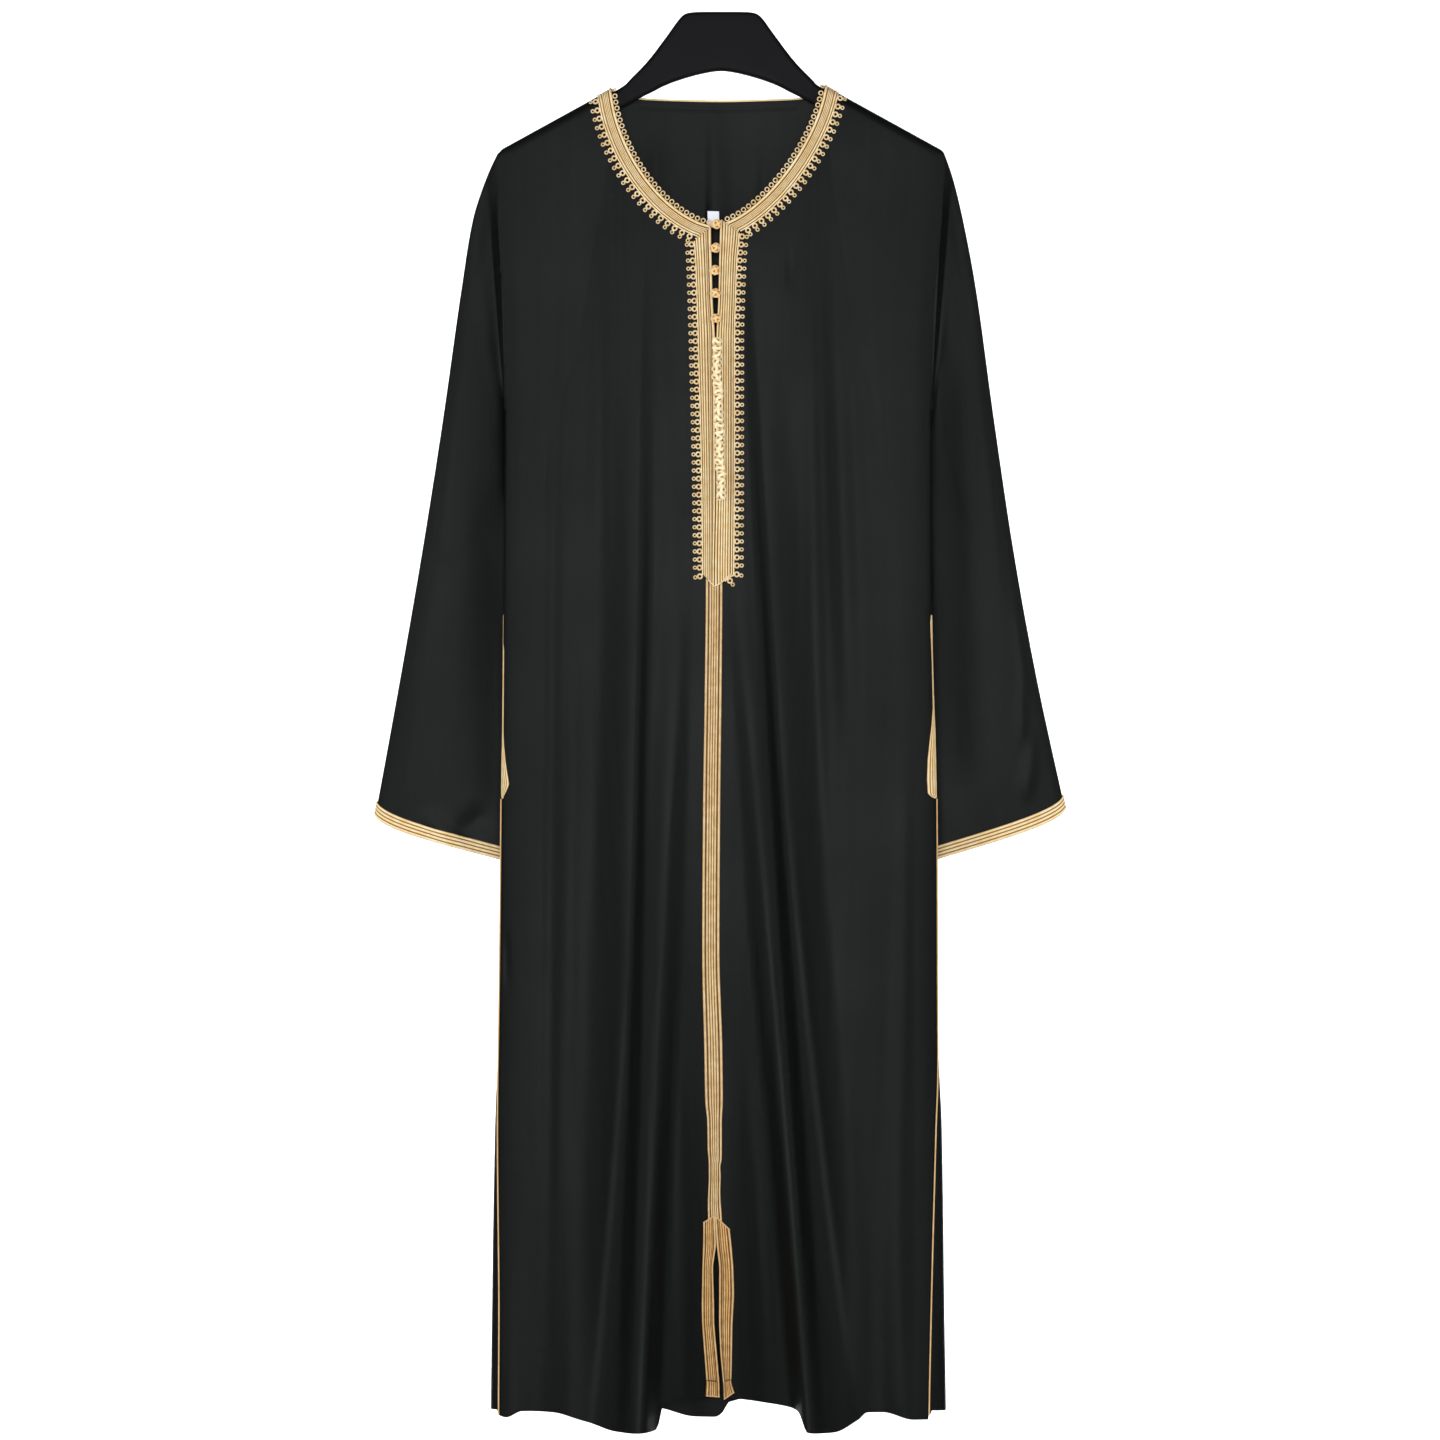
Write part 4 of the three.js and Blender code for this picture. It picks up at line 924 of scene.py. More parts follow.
@dataclass(frozen=True)
class GoldThread(Finish):
    """Gold braid or cord: fine wound thread, with painted shade in its grooves and between its wound threads.
    """

    name: str
    light: Colour
    middle: Colour
    # groove: the colour of the painted shade in the cords' grooves and between the threads.
    groove: Colour
    pitch: float = 0.62
    slant: float = 0.0
    metallic: float = 0.1
    roughness: float = 0.46

    def build(self) -> bpy.types.Material:
        """Makes the gold thread."""
        g = Graph(self.name)
        along, across, height = g.place()
        wound = g.math("ADD", along, g.math("MULTIPLY", across, self.slant))
        thread = g.wave(wound, self.pitch)
        tone = g.noise(g.object_space(), 160.0, 3)
        patch = g.noise(g.object_space(), 24.0, 2)
        lit = g.mix(g.spread(tone, 0.3, 0.7), self.middle, self.light)
        lit = g.mix(g.spread(patch, 0.45, 0.75, 0.0, 0.35), lit, self.middle)
        # Painted shade: the colour goes towards the groove colour low on each cord and between the wound
        # threads.
        painted_groove_shade = g.math("MULTIPLY", g.spread(height, 0.12, 0.98), g.spread(thread, 0.0, 0.6, 0.62, 1.0))
        g.set(Base_Color=g.mix(painted_groove_shade, self.groove, lit))
        rough = g.spread(tone, 0.2, 0.8, self.roughness - 0.08, self.roughness + 0.12)
        g.set(Roughness=rough)
        g.bump(g.math("ADD", thread, g.math("MULTIPLY", tone, 0.8)), 0.16, 0.8)
        g.set(Metallic=self.metallic, Specular_IOR_Level=0.3, Sheen_Weight=0.05, Sheen_Roughness=0.4)
        return g.material


@dataclass(frozen=True)
class Plastic(Finish):
    """Black moulded plastic with a fine satin grain."""

    name: str = "black_plastic"
    colour: Colour = (0.0038, 0.0039, 0.0046)

    def build(self) -> bpy.types.Material:
        """Makes the plastic."""
        g = Graph(self.name)
        grain = g.noise(g.object_space(), 900.0, 2)
        smear = g.noise(g.object_space(), 22.0, 3)
        lighter = tuple(1.5 * c for c in self.colour)
        g.set(Base_Color=g.mix(g.spread(smear, 0.35, 0.7), self.colour, lighter))
        g.set(Roughness=g.spread(smear, 0.3, 0.7, 0.40, 0.50))
        g.bump(grain, 0.05, 0.5)
        g.set(Specular_IOR_Level=0.034)
        return g.material


@dataclass(frozen=True)
class Tape(Finish):
    """White woven label tape."""

    name: str = "white_tape"
    colour: Colour = (0.74, 0.76, 0.84)

    def build(self) -> bpy.types.Material:
        """Makes the tape."""
        g = Graph(self.name)
        along, across, _ = g.place()
        weave = g.math("MULTIPLY", g.wave(along, 0.5), g.wave(across, 0.5))
        darker = tuple(0.82 * c for c in self.colour)
        g.set(Base_Color=g.mix(weave, darker, self.colour))
        g.bump(weave, 0.08, 0.6)
        g.set(Roughness=0.7, Sheen_Weight=0.1)
        return g.material


@dataclass(frozen=True)
class StudioWhite(Finish):
    """The studio's pale floor and backdrop."""

    name: str = "studio_white"
    colour: Colour = (0.9, 0.9, 0.9)

    def build(self) -> bpy.types.Material:
        """Makes the pale paint."""
        g = Graph(self.name)
        mottle = g.noise(g.object_space(), 3.0, 2)
        darker = tuple(0.985 * c for c in self.colour)
        g.set(Base_Color=g.mix(mottle, darker, self.colour))
        g.set(Roughness=0.9, Specular_IOR_Level=0.1)
        return g.material


SATIN = Satin()
BRAID = GoldThread("gold_braid", (1.0, 0.84, 0.52), (0.90, 0.63, 0.29), (0.15, 0.07, 0.016))
BRIGHT_CORD = GoldThread("bright_cord", (1.0, 0.83, 0.55), (0.85, 0.62, 0.32), (0.32, 0.17, 0.05), 0.9, 1.4)
EDGING = GoldThread("looped_cord", (0.98, 0.82, 0.54), (0.78, 0.55, 0.26), (0.28, 0.145, 0.04), 0.8, 1.2)
CENTRE_BRAID = GoldThread("centre_braid", (0.90, 0.68, 0.38), (0.66, 0.43, 0.185), (0.11, 0.05, 0.012))
LOWER_BRAID = GoldThread("lower_braid", (0.90, 0.56, 0.23), (0.58, 0.32, 0.10), (0.08, 0.034, 0.008))
LEG_CORD = GoldThread("leg_cord", (0.76, 0.54, 0.28), (0.60, 0.38, 0.16), (0.26, 0.13, 0.035), 0.9, 1.4)
KNOTTED = GoldThread(
    "knotted_cord", (1.0, 0.84, 0.50), (0.86, 0.52, 0.16), (0.30, 0.10, 0.01), 0.7, 1.2, 0.1, 0.4
)
# The balls inside the knots are painted shade that shows between the cords: orange in the buttons, dark brown
# in the column.
KNOT_SHADE_CORE = GoldThread("knot_heart", (0.85, 0.42, 0.06), (0.66, 0.28, 0.03), (0.34, 0.12, 0.012), 0.7, 1.2)
COLUMN_CORD = GoldThread(
    "column_cord", (1.0, 0.91, 0.64), (0.97, 0.78, 0.46), (0.36, 0.19, 0.05), 0.8, 1.2, 0.05
)
COLUMN_SHADE_CORE = GoldThread(
    "column_heart", (0.34, 0.19, 0.07), (0.24, 0.12, 0.04), (0.08, 0.04, 0.012), 0.7, 1.2
)
# Dark brown for the stitches, and for the painted shade along the tops of the hem slit's folded ends.
BROWN_STITCH_AND_SHADE = GoldThread("brown_stitch", (0.17, 0.085, 0.03), (0.10, 0.05, 0.018), (0.03, 0.015, 0.006))
PLASTIC = Plastic()
TAPE = Tape()
STUDIO_WHITE = StudioWhite()


# ---- cloth
def cloth_place(points: Array) -> Array:
    """Along, across and height of a cloth grid's points."""
    return np.stack([points[..., 2], distance_along(points, 0), np.ones(points.shape[:2])], -1)


@dataclass(frozen=True)
class ClothGrid:
    """How finely the cloth is divided, and how thick it is."""

    thickness: float = 1.4
    shoulder_columns: int = 40
    front_neck_columns: int = 72
    back_neck_columns: int = 116
    armhole_rows: int = 40
    lower_rows: int = 150
    row_crowding: float = 2.0
    column_crowding: float = 0.3
    shares_settle: float = 2.2
    first_turn: float = 0.03
    last_turn: float = 0.985

    def rows(self) -> Array:
        """Row shares down a panel: crowded over the shoulder, one at the underarm, then even."""
        underarm = (FORM.armhole_top - FORM.armhole_bottom) / (FORM.armhole_top - FORM.side_hem)
        upper = underarm * np.linspace(0, 1, self.armhole_rows + 1) ** self.row_crowding
        return np.concatenate([upper, np.linspace(underarm, 1, self.lower_rows + 1)[1:]])


GRID = ClothGrid()


@dataclass(kw_only=True)
class Cloth(ABC):
    """A piece of the robe's cloth: its flat cut in metres, and the grid that it hangs as."""

    flat: ClassVar[Pair]
    cut_area: ClassVar[float]
    points: Array | None = None
    normals: Array | None = None

    @abstractmethod
    def shape(self) -> None:
        """Works out the grid."""

    def make(self, name: str, nodes: Sequence[str], side: Side | None = None, wrap: bool = False) -> Piece:
        """Makes the cloth.

        Args:
            name: the piece's name.
            nodes: the solids that it stands for.
            side: the side, whose word ends all of these names.
            wrap: joins the last column to the first.

        Returns:
            The piece.
        """
        self.shape()
        stock = Stock()
        stock.slab(self.points, self.normals, 0, -GRID.thickness, cloth_place(self.points), wrap=wrap)
        return stock.stand(name, [SATIN], nodes, side)

    def hang(
        self, top: Arrays, even: Array, edges: Callable[[Array], Arrays], behind: bool,
        hem: Sequence[LinePoint], on_shoulder: Array,
    ) -> None:
        """Hangs a panel between its edges, from its top line to its hem.

        Args:
            top: the x and z of its top line.
            even: the columns' shares of the width once they are clear of the top.
            edges: gives its two edges' angles at some heights.
            behind: whether it is the back.
            hem: the hem's line.
            on_shoulder: which columns start on the shoulder seam.
        """
        top_x, top_z = top
        start, end = edges(top_z)
        top_angle = FORM.angle_of(top_x, top_z)
        at_top = np.clip(((top_angle if behind else 2 * PI - top_angle) - start) / (end - start), 0, 1)
        at_top[0], at_top[-1] = 0, 1
        shares = GRID.rows()

        def angles(z: Array, fraction: Array) -> Array:
            """The angles of all columns at their heights."""
            return lerp(*edges(z), lerp(at_top[:, None], even[:, None], smooth(fraction * GRID.shares_settle)))

        foot = np.full((len(top_x), 1), FORM.side_hem)
        foot_z = Curve(hem, "x", "z")(FORM.point(angles(foot, np.ones((1, 1))), foot)[:, 0, 0])
        foot_z[0] = FORM.side_hem
        if behind:
            foot_z[-1] = FORM.side_hem
        z = lerp(top_z[:, None], foot_z[:, None], shares[None])
        angle = angles(z, shares[None])
        self.points, self.normals = FORM.surface(angle, z)
        slope = np.sign(self.points[:, 0, 0]) * FORM.shoulder_slope
        seam = unit(joined(slope, 0.0, 1.0))
        self.normals[on_shoulder, 0] = seam[on_shoulder]


@dataclass
class FrontHalf(Cloth):
    """One half of the front, from its side seam to the centre front."""

    side: Side
    flat: ClassVar[Pair] = (0.27, 1.31)
    cut_area: ClassVar[float] = 0.27

    def edges(self, z: Array) -> Arrays:
        """The angles of the side seam and of the centre front's edge."""
        centre = 2 * PI - FORM.angle_of(CENTRE[self.side](z), z)
        return FORM.seam(self.side, z), centre

    def shape(self) -> None:
        """Works out the half's grid."""
        side, form = self.side, FORM
        arm_x = float(BODY[side.word](form.armhole_top))
        turns = np.linspace(GRID.first_turn, GRID.last_turn, GRID.front_neck_columns + 1)
        neck_x, neck_z = form.neck_point(side, turns, form.neck_cloth)
        shoulder_x = np.linspace(arm_x, neck_x[0], GRID.shoulder_columns + 1)
        top_x = np.concatenate([shoulder_x, neck_x[1:]])
        top_z = np.concatenate([form.shoulder_line(shoulder_x), neck_z[1:]])
        top_x[-1] = CENTRE[side](top_z[-1])
        top_z[0] = form.armhole_top
        w = np.linspace(0, 1, len(top_x))
        even = w - GRID.column_crowding * np.sin(PI * w) / PI
        on_shoulder = np.arange(len(top_x)) <= GRID.shoulder_columns
        self.hang((top_x, top_z), even, self.edges, False, FRONT_HEM, on_shoulder)

    def build(self) -> Piece:
        """Makes the half."""
        return self.make("front_half", ["front"], self.side)


@dataclass
class Back(Cloth):
    """The back, in one piece from side seam to side seam."""

    flat: ClassVar[Pair] = (0.52, 1.31)
    cut_area: ClassVar[float] = 0.6

    def edges(self, z: Array) -> Arrays:
        """The angles of the left and the right side seam."""
        return FORM.seam(Side.LEFT, z, behind=True), FORM.seam(Side.RIGHT, z, behind=True)

    def shape(self) -> None:
        """Works out the back's grid."""
        form = FORM
        arms = [float(BODY[side.word](form.armhole_top)) for side in Side]
        neck = [BACK_NECK[0].x, BACK_NECK[-1].x]
        left = np.linspace(arms[0], neck[0], GRID.shoulder_columns + 1)
        right = np.linspace(neck[1], arms[1], GRID.shoulder_columns + 1)
        w = np.linspace(0, 1, GRID.back_neck_columns + 1)[1:-1]
        middle = lerp(neck[0], neck[1], w - 0.5 * np.sin(2 * PI * w) / (2 * PI))
        top_x = np.concatenate([left, middle, right])
        neck_z = Curve(BACK_NECK, "x", "z")(middle)
        top_z = np.concatenate([form.shoulder_line(left), neck_z, form.shoulder_line(right)])
        top_z[0] = top_z[-1] = form.armhole_top
        w = np.linspace(0, 1, len(top_x))
        even = w + GRID.column_crowding * np.sin(2 * PI * w) / (2 * PI)
        index = np.arange(len(top_x))
        on_shoulder = (index <= GRID.shoulder_columns) | (index >= len(top_x) - 1 - GRID.shoulder_columns)
        self.hang((top_x, top_z), even, self.edges, True, BACK_HEM, on_shoulder)

    def build(self) -> Piece:
        """Makes the back."""
        return self.make("back_panel", ["back"])


class SleeveCrease(NamedTuple):
    """A crease of a sleeve: where it starts and ends, its half width and its reach outwards."""

    x0: float
    z0: float
    x1: float
    z1: float
    width: float
    out: float

    def rise(self, x: Array, z: Array) -> Array:
        """How far the crease lifts the cloth at a place."""
        dx, dz = self.x1 - self.x0, self.z1 - self.z0
        along = ((x - self.x0) * dx + (z - self.z0) * dz) / (dx * dx + dz * dz)
        away = ((x - self.x0) * dz - (z - self.z0) * dx) / math.hypot(dx, dz)
        ends = smooth(along / 0.35 + 0.5) * smooth((1 - along) / 0.35 + 0.5)
        return self.out * np.exp(-((away / self.width) ** 2)) * ends


SLEEVE_CREASES = {
    Side.LEFT: table(
        SleeveCrease, (-238, -240, -266, -560, 28, 2.0), (-212, -190, -213, -340, 9, -2),
        (-220, -470, -214, -780, 20, -3), (-282, -560, -304, -760, 34, 1.6), (-284, -774, -250, -804, 7, 2.0),
        (-252, -792, -228, -770, 9, -2.2),
    ),
    Side.RIGHT: table(
        SleeveCrease, (210, -190, 210, -340, 9, -2), (215, -350, 224, -560, 17, -3.4),
        (220, -560, 222, -740, 20, -3), (240, -320, 266, -560, 28, 2.0), (281, -500, 292, -634, 5, 2.4),
        (293, -630, 289, -700, 4, 2.4), (303, -700, 293, -752, 5, 2.4), (258, -560, 264, -760, 32, 1.6),
    ),
}


@dataclass
class Sleeve(Cloth):
    """One sleeve: a flattened tube from the armhole to the cuff."""

    side: Side
    front: FrontHalf
    back: Back
    half_depth: float = 8.0
    rows: int = 110
    row_crowding: float = 1.35
    settle: float = 0.045
    tuck: float = 7.0
    cuff_sag: float = 8.0
    cuff_from: float = 0.72
    seam_step: float = 0.05
    flat: ClassVar[Pair] = (0.34, 0.62)
    cut_area: ClassVar[float] = 0.12

    def shape(self) -> None:
        """Works out the sleeve's grid, down the front of the armhole and up its back."""
        sign, count = self.side.value, GRID.armhole_rows
        back_column = self.back.points[0 if self.side is Side.LEFT else -1]
        index = np.arange(2 * count)
        row = np.where(index <= count, index, 2 * count - index)
        at_front = index <= count
        ring = np.where(at_front[:, None], self.front.points[0][row], back_column[row])
        ring[row == 0, 1] = 0
        ring[:, 0] += sign * self.seam_step
        along = (np.linspace(0, 1, self.rows + 1) ** self.row_crowding)[None]
        read = {name: Curve(SLEEVE_ROWS[self.side], "along", name)(along) for name in SleeveRow._fields[1:]}
        crowded = ((row / count) ** GRID.row_crowding)[:, None]
        even = (1 - np.cos(PI * row / count))[:, None] / 2
        spread = lerp(crowded, even, smooth(along * 3))
        x = sign * lerp(read["outer_x"], read["inner_x"], spread)
        near_cuff = smooth((along - self.cuff_from) / (1 - self.cuff_from))
        sag = self.cuff_sag * np.sin(PI * spread**0.45) * near_cuff
        z = lerp(read["outer_z"], read["inner_z"], spread) - sag
        puff = self.half_depth * np.sqrt(np.clip(np.sin(PI * spread), 0, 1))
        hang = lerp(read["outer_back"], read["inner_back"], spread)
        face = np.where(at_front, -1, 1)[:, None]
        folds = sum(crease.rise(x, z) for crease in SLEEVE_CREASES[self.side])
        edge = smooth(np.minimum(spread, 1 - spread) * 6)
        tuck = self.tuck * np.exp(-((along / 0.16) ** 2)) * smooth(spread * 4)
        y = hang + face * (puff + folds * edge) + tuck
        y = lerp(ring[:, 1][:, None], y, smooth(along / self.settle))
        points = np.stack([x, y, z], -1)
        points[:, 0] = ring
        across = np.roll(points, -1, 0) - np.roll(points, 1, 0)
        down = np.gradient(points, axis=1)
        normals = unit(np.cross(across, down))
        facing = np.zeros((2 * count, 1, 3))
        facing[:, 0, 1] = np.where(at_front, -1, 1)
        facing[row == 0] = [sign, 0, 0.6]
        facing[row == count] = [-sign, 0, -0.6]
        normals *= np.where(np.sum(normals * facing, -1) < 0, -1, 1)[..., None]
        normals[row == 0, 0] = [0, 0, 1]
        normals[row == count, 0] = [0, 0, -1]
        normals[:, 0, 0] = 0
        normals[:, 0] = unit(normals[:, 0])
        self.points, self.normals = points, normals

    def build(self) -> Piece:
        """Makes the sleeve."""
        word = self.side.word
        halves = [f"sleeve_{word}_{half}" for half in ("front", "back")]
        return self.make(f"sleeve_tube_{word}", halves, wrap=True)


# ---- braids
class Rib(NamedTuple):
    """One cord of a braid: where it starts and ends as shares of the width, and its height."""

    start: float
    end: float
    height: float


@dataclass(frozen=True)
class RibSection:
    """The section of a braid: its cords side by side on a thin ground."""

    ribs: tuple[Rib, ...]
    ground: float = 0.45
    samples: int = 6

    def lanes(self) -> tuple[Array, Array, Array]:
        """The section's points.

        Returns:
            Their shares of the width, their heights, and how high each stands on its cord.
        """
        shares, heights, rises = [], [], []
        for rib in self.ribs:
            turn = np.linspace(0, PI, self.samples)
            shares.append((rib.start + rib.end) / 2 - (rib.end - rib.start) / 2 * np.cos(turn))
            heights.append(self.ground + rib.height * np.sin(turn))
            rises.append(np.sin(turn) * min(1, rib.height / 0.5))
        return np.concatenate(shares), np.concatenate(heights), np.concatenate(rises)


def cords(*rows: tuple[float, float, float]) -> RibSection:
    """A section from its cords' starts, ends and heights."""
    return RibSection(table(Rib, *rows))


def even_section(count: int, height: float, edges: float = 0.0) -> RibSection:
    """A section of like cords.

    Args:
        count: how many cords.
        height: of each.
        edges: how much taller the two outer cords stand.

    Returns:
        The section.
    """
    gap, rows = 0.012, []
    for k in range(count):
        tall = height + (edges if k in (0, count - 1) else 0)
        rows.append((k / count + gap, (k + 1) / count - gap, tall))
    return cords(*rows)


LIFT = 0.35  # from the cloth to the underside of what lies on it
TRIM_LIFT, TRIM_DEPTH = 0.85, 1.1  # the solid braid's height above the cloth, and its depth
STITCH_PITCH, STITCH_LIFT = 4.2, 0.62  # the dark stitches' spacing and their height above a braid's underside


def lay_braid(
    stock: Stock, section: RibSection, points: Array, normals: Array, slot: int = 0, share: Number = 1.0
) -> None:
    """Lays a braid over a grid of points whose columns are the section's lanes.

    Args:
        stock: what it is added to.
        section: the braid's section.
        points: the cloth's points under it.
        normals: the cloth's normals there.
        slot: the material that it takes.
        share: how much of its height it has along its length.
    """
    _, heights, rises = section.lanes()
    ends = np.ones(points.shape[1]) * share
    ends[[0, -1]] *= 0.55
    tall = heights[:, None] * ends[None]
    place = joined(distance_along(points, 1), distance_along(points, 0), rises[:, None])
    stock.slab(points, normals, LIFT, LIFT + tall, place, slot=slot)


class Line(NamedTuple):
    """A straight line between two places seen from the front."""

    x0: float
    z0: float
    x1: float
    z1: float

    def height(self, x: Array) -> Array:
        """The line's height at x, held at its ends."""
        return np.interp(x, *zip(*sorted([(self.x0, self.z0), (self.x1, self.z1)])))


# The slanted seams at which the neck's braid meets the braids of the neck slit.
MITRES = {Side.LEFT: Line(-8.6, -206.4, -24.5, -219.2), Side.RIGHT: Line(0.2, -201.4, 16.8, -211.6)}


@dataclass
class NeckTrim:
    """The trims of one half of the neck: ribbed braid, looped edging inside it, scallops outside it."""

    side: Side
    section_from: float = 2.4
    section_to: float = 14.7
    steps: int = 200
    start_below: float = 0.6
    picot_pitch: float = 5.95
    picot_radius: float = 1.95
    picot_cord: float = 0.62
    scallop_pitch: float = 8.05
    step: float = 0.002
    section: RibSection = cords(
        (0.0, 0.24, 1.15), (0.30, 0.405, 0.75), (0.42, 0.525, 0.75), (0.54, 0.645, 0.75), (0.66, 0.765, 0.75),
        (0.775, 0.825, 0.3), (0.86, 1.0, 1.35),
    )

    def first_turn(self, offset: float) -> float:
        """The turn of the neck line at which a lane comes down from the shoulder line."""
        turns = np.linspace(0.001, 0.4, 1600)
        x, z = FORM.neck_point(self.side, turns, offset)
        return float(turns[np.argmax(z < FORM.shoulder_line(x) - self.start_below)])

    def last_turn(self, offset: float) -> float:
        """The turn at which a lane meets the slanted seam."""
        line = MITRES[self.side]
        turns = np.linspace(0.5, 1.0, 2000)
        x, z = FORM.neck_point(self.side, turns, offset)
        side = (x - line.x0) * (line.z1 - line.z0) - (z - line.z0) * (line.x1 - line.x0)
        crossed = np.nonzero(side * side[0] < 0)[0]
        return float(turns[crossed[0]]) if len(crossed) else 0.97

    def lane(self, offset: float, turns: Array) -> Arrays:
        """Points and normals of a lane.

        Args:
            offset: outwards from the neck line.
            turns: its turns of the neck line.

        Returns:
            The points and normals, with the cloth read at its own edge for lanes that stand past it.
        """
        x, z = FORM.neck_point(self.side, turns, offset)
        cloth_x, cloth_z = FORM.neck_point(self.side, turns, max(offset, FORM.neck_cloth + 0.2))
        points, normals = FORM.outside(cloth_x, cloth_z)
        points[..., 0], points[..., 2] = x, z
        return points, normals

    def even_turns(self, offset: float, start: float, end: float, pitch: float) -> Array:
        """Turns at a pitch along a lane.

        Args:
            offset: the lane's, outwards from the neck line.
            start: its first turn.
            end: its last turn.
            pitch: about how far apart they are.

        Returns:
            The turns.
        """
        turns = np.linspace(start, end, 1500)
        x, z = FORM.neck_point(self.side, turns, offset)
        length = distance_along(np.stack([x, z], -1))
        return np.interp(evenly(length[-1], pitch), length, turns)

    def braid(self) -> Piece:
        """Makes the ribbed braid and the stitched seam at its end."""
        stock = Stock()
        shares, _, _ = self.section.lanes()
        columns = []
        for share in shares:
            offset = lerp(self.section_from, self.section_to, share)
            start, end = self.first_turn(offset), self.last_turn(offset)
            columns.append(self.lane(offset, lerp(start, end, np.linspace(0, 1, self.steps) ** 1.3)))
        points, normals = (np.stack(part) for part in zip(*columns))
        lay_braid(stock, self.section, points, normals)
        cord_points, cord_normals = points[-4], normals[-4]
        stock.tube(cord_points[2:-2] + cord_normals[2:-2] * 1.35, cord_normals[2:-2], 0.72, slot=1)
        self.seam(stock)
        finishes = [BRAID, BRIGHT_CORD, BROWN_STITCH_AND_SHADE]
        return stock.stand("neck_ribbed_braid", finishes, ["neck_braid"], self.side)

    def seam(self, stock: Stock) -> None:
        """Adds the slanted seam's whipped stitches, light and dark by turns."""
        line = MITRES[self.side]
        share = np.linspace(0.04, 0.97, 9)
        x, z = lerp(line.x0, line.x1, share), lerp(line.z0, line.z1, share)
        points, normals = FORM.outside(x, z)
        tangent = unit(np.array([line.x1 - line.x0, 0, line.z1 - line.z0]))
        tangent = np.broadcast_to(tangent, points.shape)
        side = unit(np.cross(tangent, normals))
        axes = np.stack([unit(tangent + side * 0.5), normals, side], 1)
        stock.beads(points + normals * 1.75, axes, (1.0, 0.55, 0.75), 1)
        dark = points[:-1] + (points[1:] - points[:-1]) / 2
        stock.beads(dark + normals[:-1] * 1.55, axes[:-1], (0.45, 0.35, 0.8), 2)

    def picots(self) -> Piece:
        """Makes the single rings along the neck's inner edge."""
        stock = Stock()
        start, end = self.first_turn(0.0) + 0.004, self.last_turn(3.0)
        turns = self.even_turns(0.0, start, end, self.picot_pitch)
        points, normals = self.lane(0.0, turns)
        ahead, _ = self.lane(0.0, turns + self.step)
        along = unit(ahead - points)
        across = unit(np.cross(normals, along))
        stock.rings(points + normals * 1.0, along, across, self.picot_radius, self.picot_cord)
        return stock.stand("neck_loops", [EDGING], ["neck_picots"], self.side)

    def scallops(self) -> Piece:
        """Makes the double rings and their cord along the braid's outer edge."""
        stock = Stock()
        base, big = self.section_to + SCALLOP.base, self.section_to + SCALLOP.out[RingSize.BIG]
        start, end = self.first_turn(base), self.last_turn(base) - 0.006
        SCALLOP.cord_along(stock, *self.lane(base, np.linspace(start, end, 260)))
        turns = self.even_turns(big, start + 0.012, self.last_turn(big) - 0.012, self.scallop_pitch)
        for size in RingSize:
            offset = self.section_to + SCALLOP.out[size]
            points, normals = self.lane(offset, turns)
            ahead, _ = self.lane(offset, turns + self.step)
            SCALLOP.rings(stock, size, points, normals, unit(ahead - points))
        return stock.stand("neck_rings", [EDGING], ["neck_scallops"], self.side)

    def build(self) -> list[Piece]:
        """Makes the three trims."""
        return [self.braid(), self.picots(), self.scallops()]


class RingSize(Enum):
    """The two rings of a scallop."""

    BIG = "big"
    SMALL = "small"


@dataclass(frozen=True)
class Scallop:
    """The scalloped edging: a cord along its base, big rings on it and a small ring outside each."""

    base: float = 1.15
    base_radius: float = 0.78
    lift: float = 1.15
    out: ClassVar[dict[RingSize, float]] = {RingSize.BIG: 4.1, RingSize.SMALL: 8.6}
    radius: ClassVar[dict[RingSize, float]] = {RingSize.BIG: 2.1, RingSize.SMALL: 1.5}
    cord: ClassVar[dict[RingSize, float]] = {RingSize.BIG: 0.86, RingSize.SMALL: 0.6}
    steps: ClassVar[dict[RingSize, int]] = {RingSize.BIG: 18, RingSize.SMALL: 14}

    def cord_along(self, stock: Stock, points: Array, normals: Array) -> None:
        """Adds the base cord."""
        stock.tube(points + normals * self.lift, normals, self.base_radius)

    def rings(self, stock: Stock, size: RingSize, points: Array, normals: Array, along: Array) -> None:
        """Adds rings of one size, flat on the cloth.

        Args:
            stock: what they are added to.
            size: which of the two.
            points: the cloth's points under them.
            normals: the cloth's normals there.
            along: the edge's direction there.
        """
        centres, across = points + normals * self.lift, unit(np.cross(normals, along))
        stock.rings(centres, along, across, self.radius[size], self.cord[size], steps=self.steps[size])


SCALLOP = Scallop()


class PlacketRow(NamedTuple):
    """The edges of a placket braid at one height."""

    z: float
    out: float
    inner: float


PLACKET_ROWS = {
    Side.LEFT: table(
        PlacketRow, (-213, -24.5, -9.2), (-240, -23, -8.6), (-277, -21.6, -7.6), (-319, -20.4, -5.3),
        (-449, -17.3, -5), (-541, -16.4, -6.3),
    ),
    Side.RIGHT: table(
        PlacketRow, (-206, 16.5, -1.2), (-240, 13.9, -1.9), (-277, 12.5, -2.7), (-319, 11.5, -4.6),
        (-449, 11.4, -4.6), (-541, 11, -6.0),
    ),
}
# The pointed lower end of the placket, from left to right.
POINT_END = table(
    LinePoint, (-16.6, -541.2), (-12, -546.4), (-6.3, -552.4), (-1, -549.8), (7.2, -542.6), (11, -540.3),
)


def height_on(line: Sequence[LinePoint], x: Number) -> Array:
    """The height at x of a line that runs straight from point to point."""
    return np.interp(x, *np.array(line, float).T)


